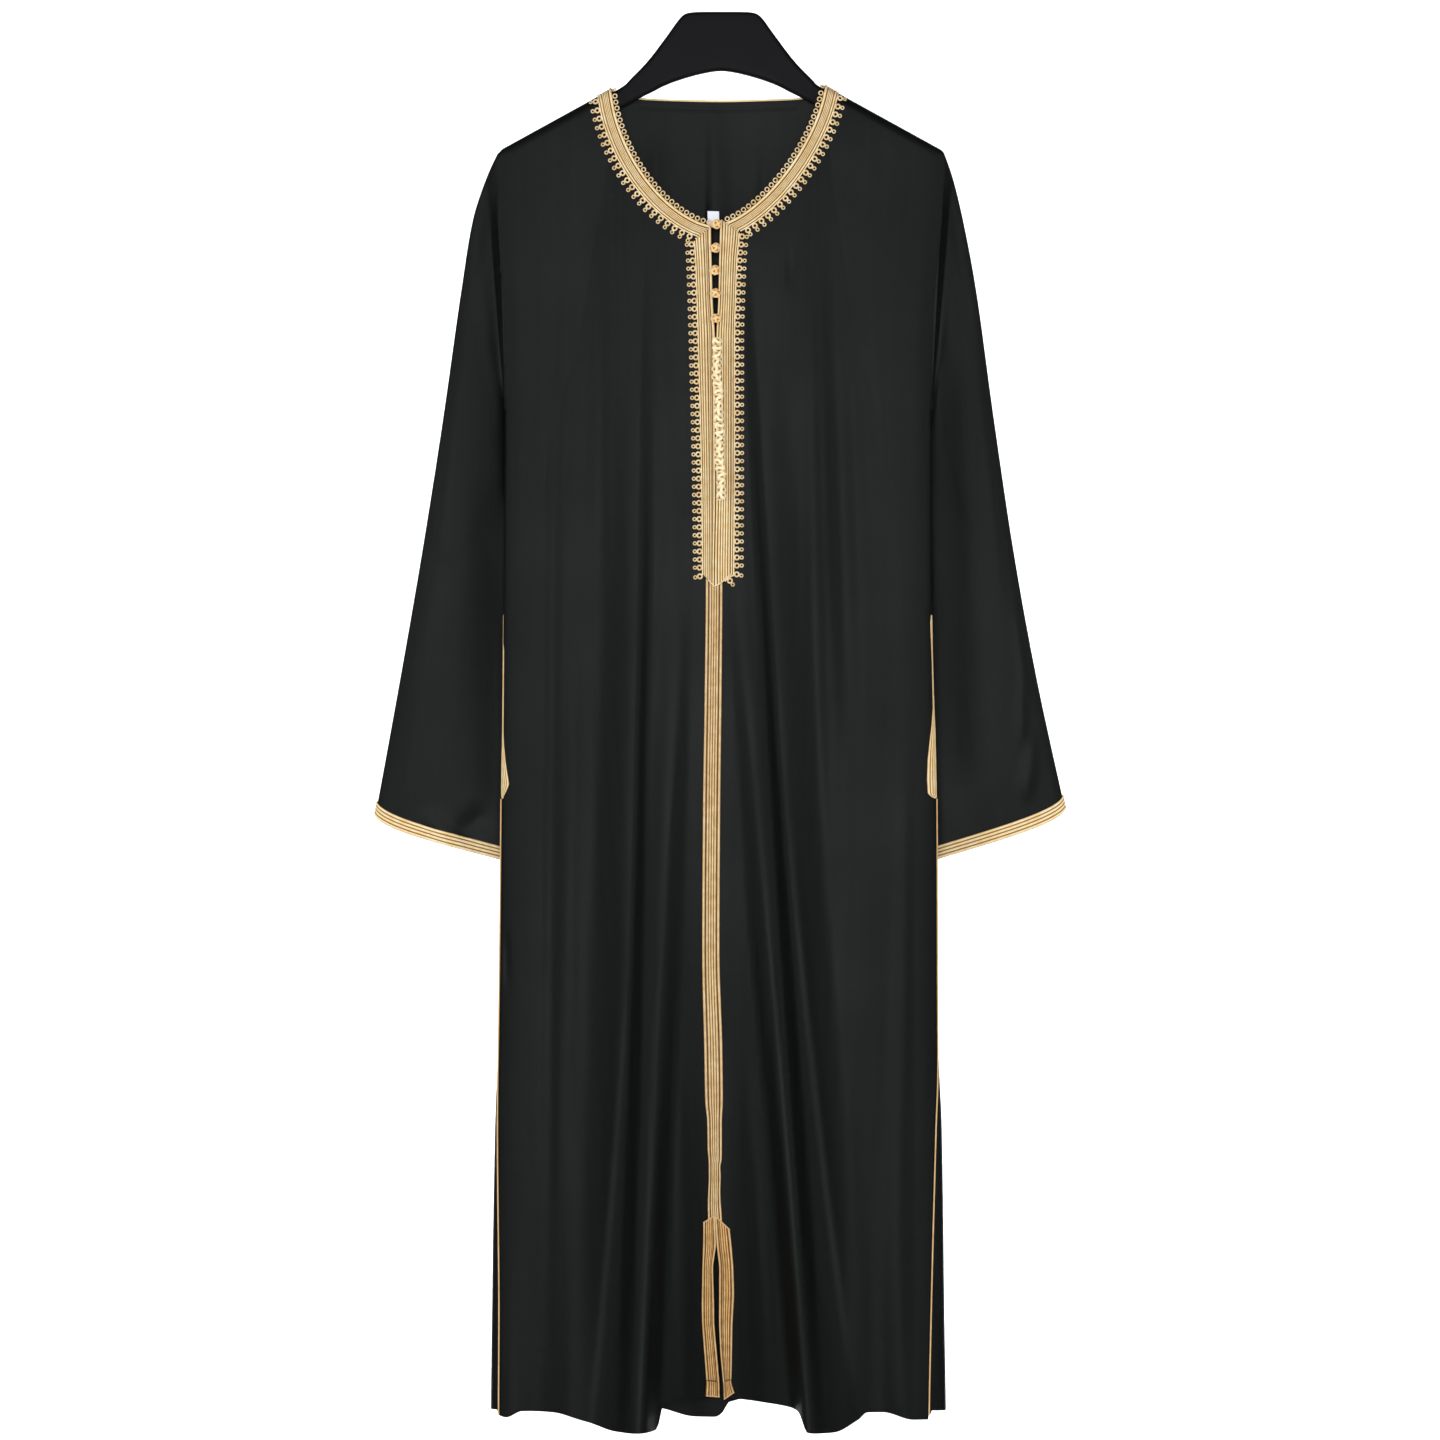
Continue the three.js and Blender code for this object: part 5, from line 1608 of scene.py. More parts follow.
@dataclass
class PlacketSide:
    """One side of the placket: its ribbed braid and the scallops outside it."""

    side: Side
    steps: int = 240
    pitch: float = 7.65
    mitre_at: float = -213.0
    foot_at: float = -541.0
    sections: ClassVar[dict[Side, RibSection]] = {
        Side.LEFT: cords(
            (0.0, 0.13, 0.75), (0.15, 0.31, 0.75), (0.33, 0.49, 0.8), (0.53, 0.64, 0.7), (0.655, 0.75, 0.35),
            (0.79, 0.98, 1.15),
        ),
        Side.RIGHT: cords(
            (0.0, 0.1, 1.2), (0.14, 0.26, 0.45), (0.28, 0.41, 0.8), (0.425, 0.55, 0.8), (0.565, 0.69, 0.75),
            (0.71, 0.84, 0.75), (0.87, 1.0, 1.1),
        ),
    }

    def edges(self, z: Array) -> Arrays:
        """The braid's outer and inner edges at a height."""
        rows = PLACKET_ROWS[self.side]
        return Curve(rows, "z", "out")(z), Curve(rows, "z", "inner")(z)

    def braid(self) -> Piece:
        """Makes the ribbed braid, slanted at its top and pointed at its end."""
        section = self.sections[self.side]
        shares, _, _ = section.lanes()
        mitre = MITRES[self.side]
        columns = []
        for share in shares:
            out, inner = self.edges(np.array(self.mitre_at))
            top = float(mitre.height(lerp(out, inner, share))) - 0.5
            out, inner = self.edges(np.array(self.foot_at))
            foot = float(height_on(POINT_END, lerp(out, inner, share)))
            z = np.linspace(top, foot, self.steps)
            out, inner = self.edges(z)
            columns.append(FORM.outside(lerp(out, inner, share), z))
        points, normals = (np.stack(part) for part in zip(*columns))
        stock = Stock()
        lay_braid(stock, section, points, normals)
        self.end_cord(stock)
        finishes = [BRAID, BRIGHT_CORD]
        return stock.stand("placket_ribbed_braid", finishes, ["placket_braid"], self.side)

    def end_cord(self, stock: Stock) -> None:
        """Adds the cord that closes the pointed end on this side."""
        x = np.linspace(-12.5, -6.2, 24) if self.side is Side.LEFT else np.linspace(-6.0, 9.4, 40)
        points, normals = FORM.outside(x, height_on(POINT_END, x) + 0.5)
        stock.tube(points + normals * 1.35, normals, 0.62, slot=1)

    def scallops(self) -> Piece:
        """Makes the scallops down the outer edge and round the point."""
        sign = self.side.value
        mitre = MITRES[self.side]
        top = mitre.z1 - 2.0
        z = np.linspace(top, self.foot_at, 400)
        out, _ = self.edges(z)
        x = out + sign * SCALLOP.base
        if self.side is Side.LEFT:
            turn_x, turn_z = np.array([x[-1] + 1.8]), np.array([-546.0])
        else:
            turn_x = np.linspace(x[-1], 3.4, 30)[1:]
            turn_z = height_on(POINT_END, turn_x) - SCALLOP.base * 1.1
        path = np.stack([np.concatenate([x, turn_x]), np.concatenate([z, turn_z])], -1)
        length = distance_along(path)[-1]
        stock = Stock()
        SCALLOP.cord_along(stock, *FORM.outside(path[:-1, 0], path[:-1, 1]))
        count = round((length - 3) / self.pitch)
        at = (np.arange(count) + 0.4) / count * length
        tangent = unit(read_along(path, at + 3.0) - read_along(path, at - 3.0))
        aside = np.stack([-tangent[:, 1], tangent[:, 0]], -1) * sign
        for size in RingSize:
            places = read_along(path, at) + aside * (SCALLOP.out[size] - SCALLOP.base)
            points, normals = FORM.outside(places[:, 0], places[:, 1])
            along = unit(np.stack([tangent[:, 0], np.zeros(count), tangent[:, 1]], -1))
            along = unit(along - normals * np.sum(along * normals, -1, keepdims=True))
            SCALLOP.rings(stock, size, points, normals, along)
        return stock.stand("placket_rings", [EDGING], ["placket_scallops"], self.side)

    def build(self) -> list[Piece]:
        """Makes the braid and the scallops."""
        return [self.braid(), self.scallops()]


# The top of the hem slit's braid, from left to right: a point between two slanted ends.
SLIT_TOP = (LinePoint(-17.3, -1161), LinePoint(-6.2, -1154.3), LinePoint(8.6, -1168))


def stitch_rows(stock: Stock, points: Array, normals: Array, pitch: float, lift: float, slot: int) -> None:
    """Adds a row of dark stitches along a line.

    Args:
        stock: what they are added to.
        points: the line.
        normals: the cloth's normals on it.
        pitch: from stitch to stitch.
        lift: above the cloth.
        slot: the material that they take.
    """
    length = distance_along(points)
    at = evenly(length[-1], pitch)
    centres = read_along(points, at)
    ups = unit(np.stack([np.interp(at, length, column) for column in normals.T], -1))
    along = unit(read_along(points, at + 0.5) - centres + 1e-6)
    axes = np.stack([along, ups, unit(np.cross(along, ups))], 1)
    stock.beads(centres + ups * lift, axes, (1.05, 0.3, 0.36), slot)


@dataclass
class CentreBraid:
    """The braid down the centre front, with two rows of dark stitches."""

    rows: tuple[EdgeRow, ...] = table(
        EdgeRow, (-541, -14.6, 1.4), (-660, -15.8, 0.5), (-756, -17.3, -0.6), (-900, -18.2, -1.4),
        (-996, -16.3, 1.4), (-1044, -15.4, 1.9), (-1064, -13.5, 0.9), (-1092, -13, 0.9), (-1101, -12.2, 0.6),
        (-1107, -12.0, -0.6), (-1116, -12.0, -0.2), (-1131, -12.5, -0.6), (-1142, -13.0, -0.2),
        (-1160, -12.7, 0.9),
    )
    steps: int = 320
    section: RibSection = cords(
        (0.0, 0.155, 0.55), (0.215, 0.35, 0.6), (0.365, 0.495, 0.65), (0.51, 0.64, 0.65), (0.655, 0.785, 0.6),
        (0.845, 1.0, 0.55),
    )

    def build(self) -> Piece:
        """Makes the braid, its upper end tucked under the placket's point."""
        left, right = Curve(self.rows, "z", "left"), Curve(self.rows, "z", "right")
        shares, _, _ = self.section.lanes()
        columns = []
        for share in np.concatenate([shares, [0.185, 0.815]]):
            x_top = lerp(-14.4, 1.2, share)
            foot = float(height_on(SLIT_TOP, lerp(-13.4, 0.6, share))) + 0.3
            z = np.linspace(float(height_on(POINT_END, x_top)) - 0.4, foot, self.steps)
            columns.append(FORM.outside(lerp(left(z), right(z), share), z))
        points, normals = (np.stack(part) for part in zip(*columns))
        stock = Stock()
        lay_braid(stock, self.section, points[:-2], normals[:-2])
        for k in (-2, -1):
            stitch_rows(stock, points[k], normals[k], STITCH_PITCH, LIFT + STITCH_LIFT, 1)
        return stock.stand("centre_front_braid", [CENTRE_BRAID, BROWN_STITCH_AND_SHADE], ["front_braid"])


class LegRow(NamedTuple):
    """A place down a leg of the hem slit's braid: its outer and inner edge points."""

    out_x: float
    out_z: float
    in_x: float
    in_z: float


@dataclass
class HemSlitLeg:
    """The braid down one side of the hem slit, joined to the other at the top in a point."""

    side: Side
    tables: ClassVar[dict[Side, tuple[LegRow, ...]]] = {
        Side.LEFT: table(
            LegRow, (-17.3, -1161, -6.2, -1154.3), (-17.6, -1183, -4.9, -1183),
            (-18.2, -1203, -8.2, -1203), (-19, -1241, -6.9, -1241), (-18.6, -1258, -6.9, -1258),
            (-16.5, -1287, -4.2, -1287), (-14.6, -1313, -1.8, -1315), (-15.3, -1327, -1.7, -1328.5),
        ),
        Side.RIGHT: table(
            LegRow, (8.6, -1168, -6.2, -1154.3), (10.4, -1183, -4.4, -1183), (12.1, -1203, -1.9, -1203),
            (13, -1230, -2.1, -1230), (11.3, -1258, -2.2, -1258), (10.7, -1287, -0.8, -1287),
            (10.2, -1306, 0.9, -1303), (9.6, -1314, 2.4, -1318), (13.0, -1324, 2.6, -1331),
        ),
    }
    steps: int = 160
    cord_height: float = 0.72
    cord_radius: float = 0.68
    fold_from: float = -1313.5
    fold_height: float = 1.15
    section: RibSection = cords(
        (0.0, 0.17, 0.55), (0.23, 0.37, 0.6), (0.39, 0.53, 0.65), (0.55, 0.69, 0.65), (0.71, 0.79, 0.4),
        (0.84, 1.0, 0.6),
    )

    def build(self) -> Piece:
        """Makes the leg, its stitches, the fold at its end and a dark line of painted shade along the fold's
        top.
        """
        table = np.array(self.tables[self.side])
        at = np.linspace(0, 1, len(table))
        t = np.linspace(0, 1, self.steps)
        edges = [np.interp(t, at, table[:, k]) for k in range(4)]
        kernel = np.ones(9) / 9
        for k, line in enumerate(edges):
            padded = np.pad(line, 4, mode="reflect", reflect_type="odd")
            edges[k] = np.convolve(padded, kernel, "valid")
        out_x, out_z, in_x, in_z = edges
        shares, _, _ = self.section.lanes()
        grid = np.concatenate([shares, [0.2, 0.815]])[:, None]
        points, normals = FORM.outside(lerp(out_x, in_x, grid), lerp(out_z, in_z, grid))
        stock = Stock()
        lay_braid(stock, self.section, points[:-2], normals[:-2])
        for k in (-2, -1):
            stitch_rows(stock, points[k, 4:], normals[k, 4:], STITCH_PITCH, LIFT + STITCH_LIFT, 1)
        points, normals = points[:-2], normals[:-2]
        raised = points + normals * (LIFT + self.cord_height)
        for line, up in ((raised[2], normals[2]), (raised[-3], normals[-3]), (raised[:, 0], normals[:, 0])):
            stock.tube(line, up, self.cord_radius, slot=2)
        fold = int(np.argmax(points[:, :, 2].mean(0) < self.fold_from))
        folded, ups = points[:, fold:], normals[:, fold:]
        lay_braid(stock, self.section, folded + ups * self.fold_height, ups)
        # A dark brown tube along the top of the folded end: painted shade under the fold's edge.
        part = slice(0, len(points) * 3 // 4)
        seam = points[part, fold - 1] + normals[part, fold - 1] * (LIFT + self.fold_height)
        stock.tube(seam, normals[part, fold - 1], 0.55, slot=1)
        stock.tube(raised[:, -1] + normals[:, -1] * 0.9, normals[:, -1], 0.6, slot=2)
        finishes = [LOWER_BRAID, BROWN_STITCH_AND_SHADE, LEG_CORD]
        return stock.stand("hem_slit_leg", finishes, ["hem_slit_braid"], self.side)


# ---- knots
@dataclass(frozen=True)
class WovenKnot:
    """A round knot woven from one cord that goes over and under itself, round a darker ball that is painted
    shade.
    """

    radius: float
    cord: float
    turns: int = 3
    bights: int = 4
    tilt: float = 0.95
    steps: int = 132

    def add(self, stock: Stock, centre: Array, squash: float = 1.0, spin: float = 0.0) -> None:
        """Adds the knot.

        Args:
            stock: what it is added to.
            centre: its middle.
            squash: its height as a share of its width.
            spin: turns it about the line of sight.
        """
        t = np.linspace(0, 2 * PI, self.steps, endpoint=False)
        lat = self.tilt * np.sin(self.bights * t)
        lon = self.turns * t
        reach = self.radius - self.cord + 0.28 * self.cord * np.sin(2 * self.bights * t + PI / 4)
        out = np.stack([np.cos(lat) * np.cos(lon), np.sin(lat), np.cos(lat) * np.sin(lon)], -1)
        c, s = math.cos(spin), math.sin(spin)
        tipped = np.array([[1, 0, 0], [0, 0.6, -0.8], [0, 0.8, 0.6]])
        turn = np.array([[c, 0, -s], [0, 1, 0], [s, 0, c]]) @ tipped
        out = out @ turn.T
        shape = np.array([1, 1, squash])
        stock.tube(centre + out * reach[:, None] * shape, unit(out / shape), self.cord, 7, loop=True)
        # A darker ball inside the knot: painted shade seen through the gaps between the cords.
        ball, faces = ball_of(9, 14, 0.05)
        shade_core = (self.radius - self.cord * 0.9) * shape
        stock.add(centre + ball[:, [1, 2, 0]] * shade_core, faces, np.array([0, 0, 0.3]), 1)


class ButtonPlace(NamedTuple):
    """A button's height and how far right of the slit's middle it sits."""

    z: float
    aside: float


BUTTON_PLACES = table(ButtonPlace, (-205.4, 1.4), (-228.1, 0), (-249.6, -0.2), (-271.7, 0.3), (-295.7, 1))


def braid_face(side: Side, x: float, z: float) -> float:
    """The y of the placket braid's face at a place."""
    points, _ = FORM.outside(np.array(x), np.array(z))
    return float(points[..., 1]) - TRIM_LIFT - TRIM_DEPTH


@dataclass
class Buttons:
    """The woven knot buttons of the neck slit, each in its loop."""

    knot: WovenKnot = WovenKnot(4.75, 1.3)
    rest_gap: float = 0.35
    seat_radius: float = 4.4
    loop_x: float = 4.9
    loop_z: float = 3.4
    loop_behind: float = 2.6
    loop_cord: float = 0.62

    def centre(self, place: ButtonPlace) -> Array:
        """Where a button's middle lies: between the braids, resting on the nearer one."""
        edges = {side: float(Curve(PLACKET_ROWS[side], "z", "inner")(place.z)) for side in Side}
        x = sum(edges.values()) / 2 + place.aside
        side = Side.RIGHT if edges[Side.RIGHT] - x < x - edges[Side.LEFT] else Side.LEFT
        to_edge = abs(edges[side] - x)
        drop = math.sqrt((self.seat_radius + self.rest_gap) ** 2 - to_edge**2)
        return np.array([x, braid_face(side, edges[side], place.z) - drop, place.z])

    def build(self) -> list[Piece]:
        """Makes the buttons."""
        made = []
        for k, place in enumerate(BUTTON_PLACES):
            stock = Stock()
            centre = self.centre(place)
            self.knot.add(stock, centre, spin=0.7 * k)
            turn = np.linspace(0.25 * PI, 1.75 * PI, 26)
            behind = self.loop_behind
            loop = centre + joined(self.loop_x * np.cos(turn) - 0.6, behind, self.loop_z * np.sin(turn))
            stock.tube(loop, np.array([0, -1.0, 0]), self.loop_cord, 7, slot=2)
            finishes = [KNOTTED, KNOT_SHADE_CORE, EDGING]
            made.append(stock.stand(f"woven_button_{k + 1}", finishes, [f"button_{k + 1}"]))
        return made


@dataclass
class KnotColumn:
    """The column of woven knots sewn over the closed part of the placket."""

    top: float = -318.0
    bottom: float = -465.5
    count: int = 23
    x_top: float = -4.4
    x_bottom: float = 0.2
    wander: float = 0.7
    half_depth: float = 4.1
    knot: WovenKnot = WovenKnot(5.0, 1.75, 2, 3, 0.8, 84)
    squash: float = 0.92

    def build(self) -> Piece:
        """Makes the column."""
        stock = Stock()
        for k, share in enumerate(np.linspace(0, 1, self.count)):
            z = lerp(self.top, self.bottom, share)
            face = min(braid_face(Side.LEFT, -7, z), braid_face(Side.RIGHT, -2, z))
            aside = self.wander * math.sin(2.1 * k) * (1 if k % 2 else -0.6)
            x = lerp(self.x_top, self.x_bottom, share) + aside
            centre = np.array([x, face - LIFT - self.half_depth, z])
            self.knot.add(stock, centre, self.squash, 0.55 * k)
        return stock.stand("woven_knot_column", [COLUMN_CORD, COLUMN_SHADE_CORE], ["knot_column"])


# ---- back neck, sides, cuffs, label
@dataclass
class BackNeckTrim:
    """The braid outside the back neck and the cloth facing inside it."""

    braid_from: float = -99.0
    braid_to: float = 93.0
    above: float = 2.0
    below: float = 11.0
    facing_from: float = -78.0
    facing_to: float = 72.0
    facing_start: float = 1.0
    facing_depth: float = 9.0
    steps: int = 160
    section: RibSection = even_section(5, 0.65, edges=0.2)

    def strip(self, x: Array, from_edge: Array) -> Arrays:
        """Points and normals beside the back neck's edge.

        Args:
            x: places across.
            from_edge: heights above the edge, negative below it.

        Returns:
            The points and the normals.
        """
        edge = Curve(BACK_NECK, "x", "z")(x)
        z = edge + from_edge
        points, normals = FORM.outside(x, np.minimum(z, edge - 2), behind=True)
        points[..., 2] = z
        return points, normals

    def build(self) -> list[Piece]:
        """Makes the braid and the facing."""
        shares, _, _ = self.section.lanes()
        x = np.linspace(self.braid_from, self.braid_to, self.steps)[None]
        points, normals = self.strip(x, lerp(self.above, -self.below, shares)[:, None])
        stock = Stock()
        lay_braid(stock, self.section, points, normals)
        braid = stock.stand("back_neck_braid", [BRAID], ["neck_braid_back"])
        x = np.linspace(self.facing_from, self.facing_to, self.steps)[None]
        depth = np.linspace(-self.facing_start, -self.facing_start - self.facing_depth, 12)[:, None]
        points, normals = self.strip(x, depth)
        stock = Stock()
        stock.slab(points, normals, -GRID.thickness - LIFT, -GRID.thickness - LIFT - 0.9, cloth_place(points))
        stitch_rows(stock, points[-3], -normals[-3], 3.0, GRID.thickness + LIFT + 1.0, 0)
        return [braid, stock.stand("back_neck_facing", [SATIN], ["neck_facing_back"])]


@dataclass
class SideTrim:
    """The trims of one side seam: a braid on each edge of the pocket slit and the piping below it."""

    # How wide the braid of the pocket's front edge shows, at heights down it: a lens on a thin line.
    SHOWN: ClassVar[dict[Side, tuple[Pair, ...]]] = {
        Side.LEFT: (
            (-579, 0.25), (-606, 0.25), (-613, 1.1), (-690, 1.2), (-704, 1.9), (-722, 4.0), (-736, 6.4),
            (-741, 7.2), (-746, 5.6), (-753, 2.0), (-755, 1.6),
        ),
        Side.RIGHT: (
            (-579, 1.0), (-586, 1.9), (-600, 1.6), (-620, 1.1), (-668, 1.4), (-684, 3.2), (-700, 5.6),
            (-718, 8.0), (-737, 9.0), (-750, 8.4), (-753.4, 5.0), (-755, 1.8),
        ),
    }

    side: Side
    slit_top: float = -579.0
    slit_bottom: float = -755.0
    piping_radius: float = 0.75
    piping_foot: float = -1344.0
    back_angle: float = 0.34
    section: RibSection = even_section(4, 0.6)

    def reach(self, z: Array) -> Array:
        """How wide the front braid shows at a height."""
        heights, widths = np.array(self.SHOWN[self.side][::-1]).T
        return np.interp(z, heights, widths)

    def braid(self, front: bool) -> Piece:
        """Makes a braid of the pocket slit.

        Args:
            front: whether it is the one on the slit's front edge.

        Returns:
            The piece.
        """
        shares = self.section.lanes()[0][:, None]
        z = np.linspace(self.slit_top, self.slit_bottom, 150)[None]
        if front:
            edge = FORM.seam(self.side, z)
            middle, half = FORM.middle_half(z)
            inner_x = middle + half * np.cos(edge) - self.side.value * self.reach(z)
            angle = lerp(edge, 2 * PI - FORM.angle_of(inner_x, z), shares)
            share = np.clip(self.reach(z[0]) / 4, 0.25, 1)
        else:
            inward = self.side.value * self.back_angle * lerp(0.45, 1.0, shares)
            angle = FORM.seam(self.side, z, behind=True) + inward
            share = 1.0
        heights = np.broadcast_to(z, angle.shape)
        stock = Stock()
        lay_braid(stock, self.section, *FORM.surface(angle, heights), share=share)
        word = "front" if front else "back"
        return stock.stand(f"pocket_{word}_braid", [BRAID], [f"pocket_braid_{word}"], self.side)

    def piping(self) -> Piece:
        """Makes the piping down the seam."""
        z = np.linspace(self.slit_bottom - 0.4, self.piping_foot, 420)
        points, normals = FORM.surface(FORM.seam(self.side, z), z)
        stock = Stock()
        stock.tube(points + normals * (self.piping_radius + LIFT), normals, self.piping_radius, 10)
        return stock.stand("side_seam_piping", [LEG_CORD], ["side_piping"], self.side)

    def build(self) -> list[Piece]:
        """Makes the three trims."""
        return [self.braid(front=True), self.braid(front=False), self.piping()]


@dataclass
class CuffBraid:
    """The braid round the end of one sleeve."""

    sleeve: Sleeve
    width: float = 13.4
    section: RibSection = even_section(4, 0.75, edges=0.15)

    def build(self) -> Piece:
        """Makes the braid."""
        points, normals = self.sleeve.points[:, ::-1], self.sleeve.normals[:, ::-1]
        shares, heights, rises = self.section.lanes()
        width = shares * self.width
        row = np.array([np.interp(width, line, np.arange(len(line))) for line in distance_along(points, 1)])
        low, index = row.astype(int), np.arange(len(points))[:, None]
        part = (row - low)[..., None]
        grid = lerp(points[index, low], points[index, low + 1], part)
        up = unit(lerp(normals[index, low], normals[index, low + 1], part))
        place = joined(distance_along(grid, 0), distance_along(grid, 1), rises)
        stock = Stock()
        stock.slab(grid, up, LIFT, LIFT + heights[None], place, wrap=True)
        return stock.stand("cuff_ribbed_braid", [BRAID], ["cuff_braid"], self.sleeve.side)


@dataclass
class SizeLabel:
    """The blank white label behind the top of the neck slit."""

    x: float = -7.5
    width: float = 11.0
    top: float = -192.5
    bottom: float = -208.0
    thickness: float = 0.7

    def build(self) -> Piece:
        """Makes the label, a little curled."""
        low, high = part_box("size_label")
        y = float(low.y + high.y) / 2 / MM
        across = np.linspace(-0.5, 0.5, 14)[:, None]
        down = np.linspace(0, 1, 24)[None]
        x = self.x + self.width * across + 0.3 * down
        z = lerp(self.top, self.bottom, down) - 0.4 * across
        curl = 0.5 * (2 * across) ** 2 * (1 - down) + 0.25 * np.sin(3 * down)
        points = joined(x, y + curl, z)
        normals = np.broadcast_to(np.array([0, -1.0, 0]), points.shape)
        place = joined(down * (self.top - self.bottom), across * self.width, 1.0)
        stock = Stock()
        stock.slab(points, normals, -self.thickness / 2, self.thickness / 2, place)
        return stock.stand("blank_size_label", [TAPE], ["size_label"])


# ---- the hanger
@dataclass
class Hanger:
    """The moulded hanger: a crowned neck, arms along the shoulders and an arch below."""

    thickness: float = 11.0
    bevel: float = 3.6
    arm_clear: float = 5.0
    arm_from: float = 94.0
    tip: float = 190.0
    tip_drop: float = 15.0
    tip_corner: float = 5.0
    stations: int = 260
    neck: tuple[LinePoint, ...] = table(
        LinePoint, (0, 0), (21, 0), (30, -0.5), (36, -2.4), (41, -7.7), (49, -19.2), (57.5, -30.7),
        (66, -42.2), (76, -53.8), (87, -64.5),
    )
    arch: tuple[LinePoint, ...] = table(
        LinePoint, (0, -56), (20, -59.5), (40, -65.3), (55, -71), (66, -77), (79, -83),
    )

    def arm_top(self, x: float) -> float:
        """The arm's top at x, just under the shoulder line."""
        return float(FORM.shoulder_line(x)) - self.arm_clear

    def edges(self) -> Arrays:
        """The top line and the line under it, from the left tip to the right tip.

        Returns:
            The two lines, matched point by point, as x and z.
        """
        corner = self.tip - self.tip_corner
        tip_z = self.arm_top(self.tip)
        top = [tuple(p) for p in self.neck] + [
            (self.arm_from, self.arm_top(self.arm_from)),
            (corner, self.arm_top(corner)),
            (self.tip, tip_z - self.tip_corner),
        ]
        under = [tuple(p) for p in self.arch] + [
            (corner, tip_z - self.tip_drop - self.tip_corner / 2),
            (self.tip, tip_z - self.tip_drop),
        ]
        lines = []
        for half in (np.array(top), np.array(under)):
            mirrored = half[1:][::-1] * [-1, 1]
            line = self.rounded(np.concatenate([mirrored, half]))
            lines.append(read_along(line, np.linspace(0, distance_along(line)[-1], self.stations)))
        return lines[0], lines[1]

    @staticmethod
    def rounded(points: Array) -> Array:
        """Cuts the corners of a line three times, so that it runs smoothly between its ends."""
        for _ in range(3):
            a, b = points[:-1], points[1:]
            cut = np.stack([lerp(a, b, 0.25), lerp(a, b, 0.75)], 1).reshape(-1, 2)
            points = np.concatenate([points[:1], cut, points[-1:]])
        return points

    def section(self) -> Array:
        """One loop round the hanger.

        Returns:
            For each point, its share from the lower line to the top line, its inset from that line and its y.
        """
        half, edge = self.thickness / 2, self.bevel
        turn = np.linspace(0, PI / 2, 7)[1:]
        corner = np.stack([edge * (1 - np.sin(turn)), half - edge * (1 - np.cos(turn))], -1)
        rows = [(w, edge, -half) for w in np.linspace(0, 1, 9)]
        rows += [(1, inset, -y) for inset, y in corner] + [(1, inset, y) for inset, y in corner[::-1]]
        rows += [(w, edge, half) for w in np.linspace(1, 0, 9)]
        rows += [(0, inset, y) for inset, y in corner] + [(0, inset, -y) for inset, y in corner[::-1]]
        return np.array(rows)

    def build(self) -> Piece:
        """Makes the hanger as rounded sections from tip to tip."""
        top, under = self.edges()
        section = self.section()
        lines = []
        for line, down in ((under, 1), (top, -1)):
            tangent = unit(np.gradient(line, axis=0))
            inward = np.stack([-tangent[:, 1], tangent[:, 0]], -1) * down
            lines.append(line[:, None] + inward[:, None] * section[None, :, 1, None])
        flat = lerp(lines[0], lines[1], section[None, :, 0, None])
        y = np.broadcast_to(section[:, 2], flat.shape[:2])
        points = np.stack([flat[..., 0], y, flat[..., 1]], -1)
        stations, around = points.shape[:2]
        faces = np.concatenate([grid_faces(stations, around, False, True), *end_faces(stations, around)])
        stock = Stock()
        stock.add(points, faces, np.stack([points[..., 2], points[..., 0], np.ones((stations, around))], -1))
        return stock.stand("moulded_hanger", [PLASTIC], ["hanger"], sharp=65)


# ---- the studio
class Softbox(NamedTuple):
    """A soft lamp: where it stands, what it looks at, its size and its power."""

    name: str
    place: tuple[float, float, float]
    target: tuple[float, float, float]
    size: Pair
    power: float


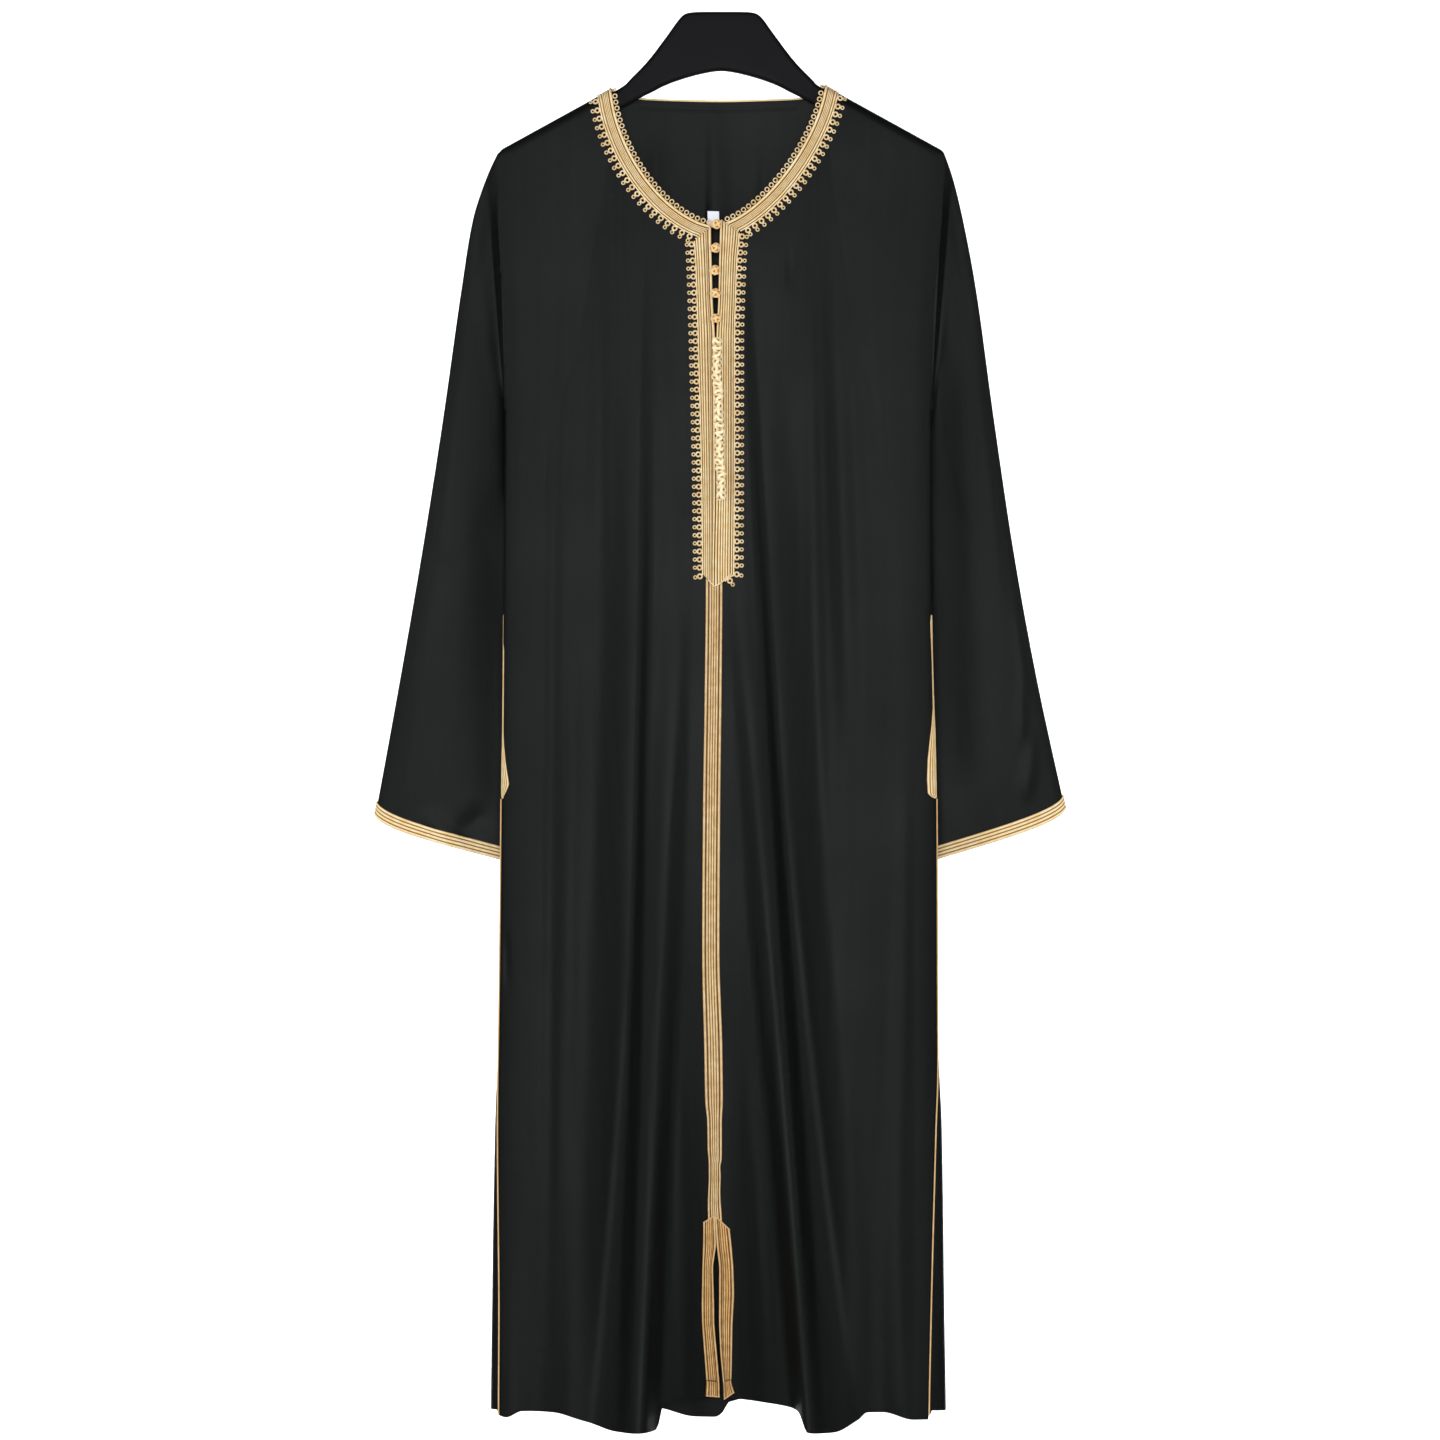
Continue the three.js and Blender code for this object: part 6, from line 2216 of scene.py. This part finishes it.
@dataclass
class Studio:
    """A pale sweep of floor and backdrop, soft lamps and a level camera."""

    floor: float = -2.6
    backdrop: float = 8.0
    half_width: float = 9.0
    sweep: float = 1.2
    distance: float = 5.6
    view_width: float = 1.3824
    aim: Pair = (-0.001, -0.6797)
    sensor: float = 36.0
    sky: float = 0.10
    lamps: tuple[Softbox, ...] = table(
        Softbox,
        ("front", (-0.2, -6.3, -0.35), (0, 0, -0.75), (2.4, 2.0), 268.0),
        ("key", (-2.7, -1.7, 0.3), (0, 0, -0.8), (0.9, 2.8), 58.0),
        ("fill", (2.7, -1.7, 0.1), (0, 0, -0.8), (0.9, 2.8), 44.0),
        ("backdrop_left", (-4.4, 5.0, 0.4), (-0.6, 8.0, -0.7), (1.6, 3.6), 420.0),
        ("backdrop_right", (4.4, 5.0, 0.4), (0.6, 8.0, -0.7), (1.6, 3.6), 420.0),
    )

    def build(self) -> None:
        """Sets up the sweep, the lamps, the sky and the camera."""
        self.build_sweep()
        for lamp in self.lamps:
            self.build_lamp(lamp)
        world = bpy.data.worlds.new("studio_sky")
        world.use_nodes = True
        sky = world.node_tree.nodes["Background"]
        sky.inputs["Color"].default_value = (1, 1, 1, 1)
        sky.inputs["Strength"].default_value = self.sky
        bpy.context.scene.world = world
        self.build_camera()
        bpy.context.scene.view_settings.view_transform = "Standard"

    def build_sweep(self) -> None:
        """Makes the floor that curves up into the backdrop."""
        turn = np.linspace(0, PI / 2, 24)
        y = np.concatenate([[-7], self.backdrop - self.sweep + self.sweep * np.sin(turn), [self.backdrop]])
        z = np.concatenate([[self.floor], self.floor + self.sweep * (1 - np.cos(turn)), [4.0]])
        x = np.linspace(-self.half_width, self.half_width, 5)
        points = joined(x[:, None], y[None], z[None])
        normals = np.zeros_like(points)
        normals[..., 1] = np.concatenate([[0], np.sin(turn), [1]])
        normals[..., 2] = np.concatenate([[-1], -np.cos(turn), [0]])
        stock = Stock()
        stock.slab(points / MM, normals, 0, 20, np.zeros_like(points))
        sweep = stock.piece("studio_sweep", [STUDIO_WHITE])

    @staticmethod
    def build_lamp(lamp: Softbox) -> None:
        """Makes one soft lamp that looks at its target."""
        data = bpy.data.lights.new(lamp.name, "AREA")
        data.shape = "RECTANGLE"
        data.size, data.size_y = lamp.size
        data.energy = lamp.power
        light = link(bpy.data.objects.new(lamp.name, data))
        direction = np.array(lamp.target) - np.array(lamp.place)
        light.location = lamp.place
        light.rotation_euler = Vector(direction).to_track_quat("-Z", "Y").to_euler()

    def build_camera(self) -> None:
        """Makes the level camera, square to the robe's front."""
        data = bpy.data.cameras.new("level_camera")
        data.sensor_width = self.sensor
        data.lens = self.sensor * self.distance / self.view_width
        data.clip_end = 50
        camera = link(bpy.data.objects.new("level_camera", data))
        camera.location = (self.aim[0], -self.distance, self.aim[1])
        camera.rotation_euler = (PI / 2, 0, 0)
        bpy.context.scene.camera = camera


def main() -> None:
    """Builds the robe, piece by piece, and the studio round it."""
    logging.basicConfig(level=logging.INFO, format="%(name)s: %(message)s")
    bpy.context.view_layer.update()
    Studio().build()
    fronts = {side: FrontHalf(side) for side in Side}
    back = Back()
    halves = {side: front.build() for side, front in fronts.items()}
    back_piece = back.build()
    sleeves = {side: Sleeve(side, fronts[side], back) for side in Side}
    tubes = {side: sleeve.build() for side, sleeve in sleeves.items()}
    trims: dict[Side, list[Piece]] = {side: [] for side in Side}
    for side in Side:
        trims[side] += NeckTrim(side).build() + PlacketSide(side).build()
        trims[side] += [HemSlitLeg(side).build(), *SideTrim(side).build()]
    cuffs = {side: CuffBraid(sleeves[side]).build() for side in Side}
    trims[Side.LEFT] += [CentreBraid().build(), KnotColumn().build(), SizeLabel().build(), *Buttons().build()]
    back_trims = BackNeckTrim().build()
    Hanger().build()
    for side in Side:
        back_braid = [p for p in trims[side] if p.name.startswith("pocket_back")]
        back_trims += back_braid


if __name__ == "__main__":
    main()
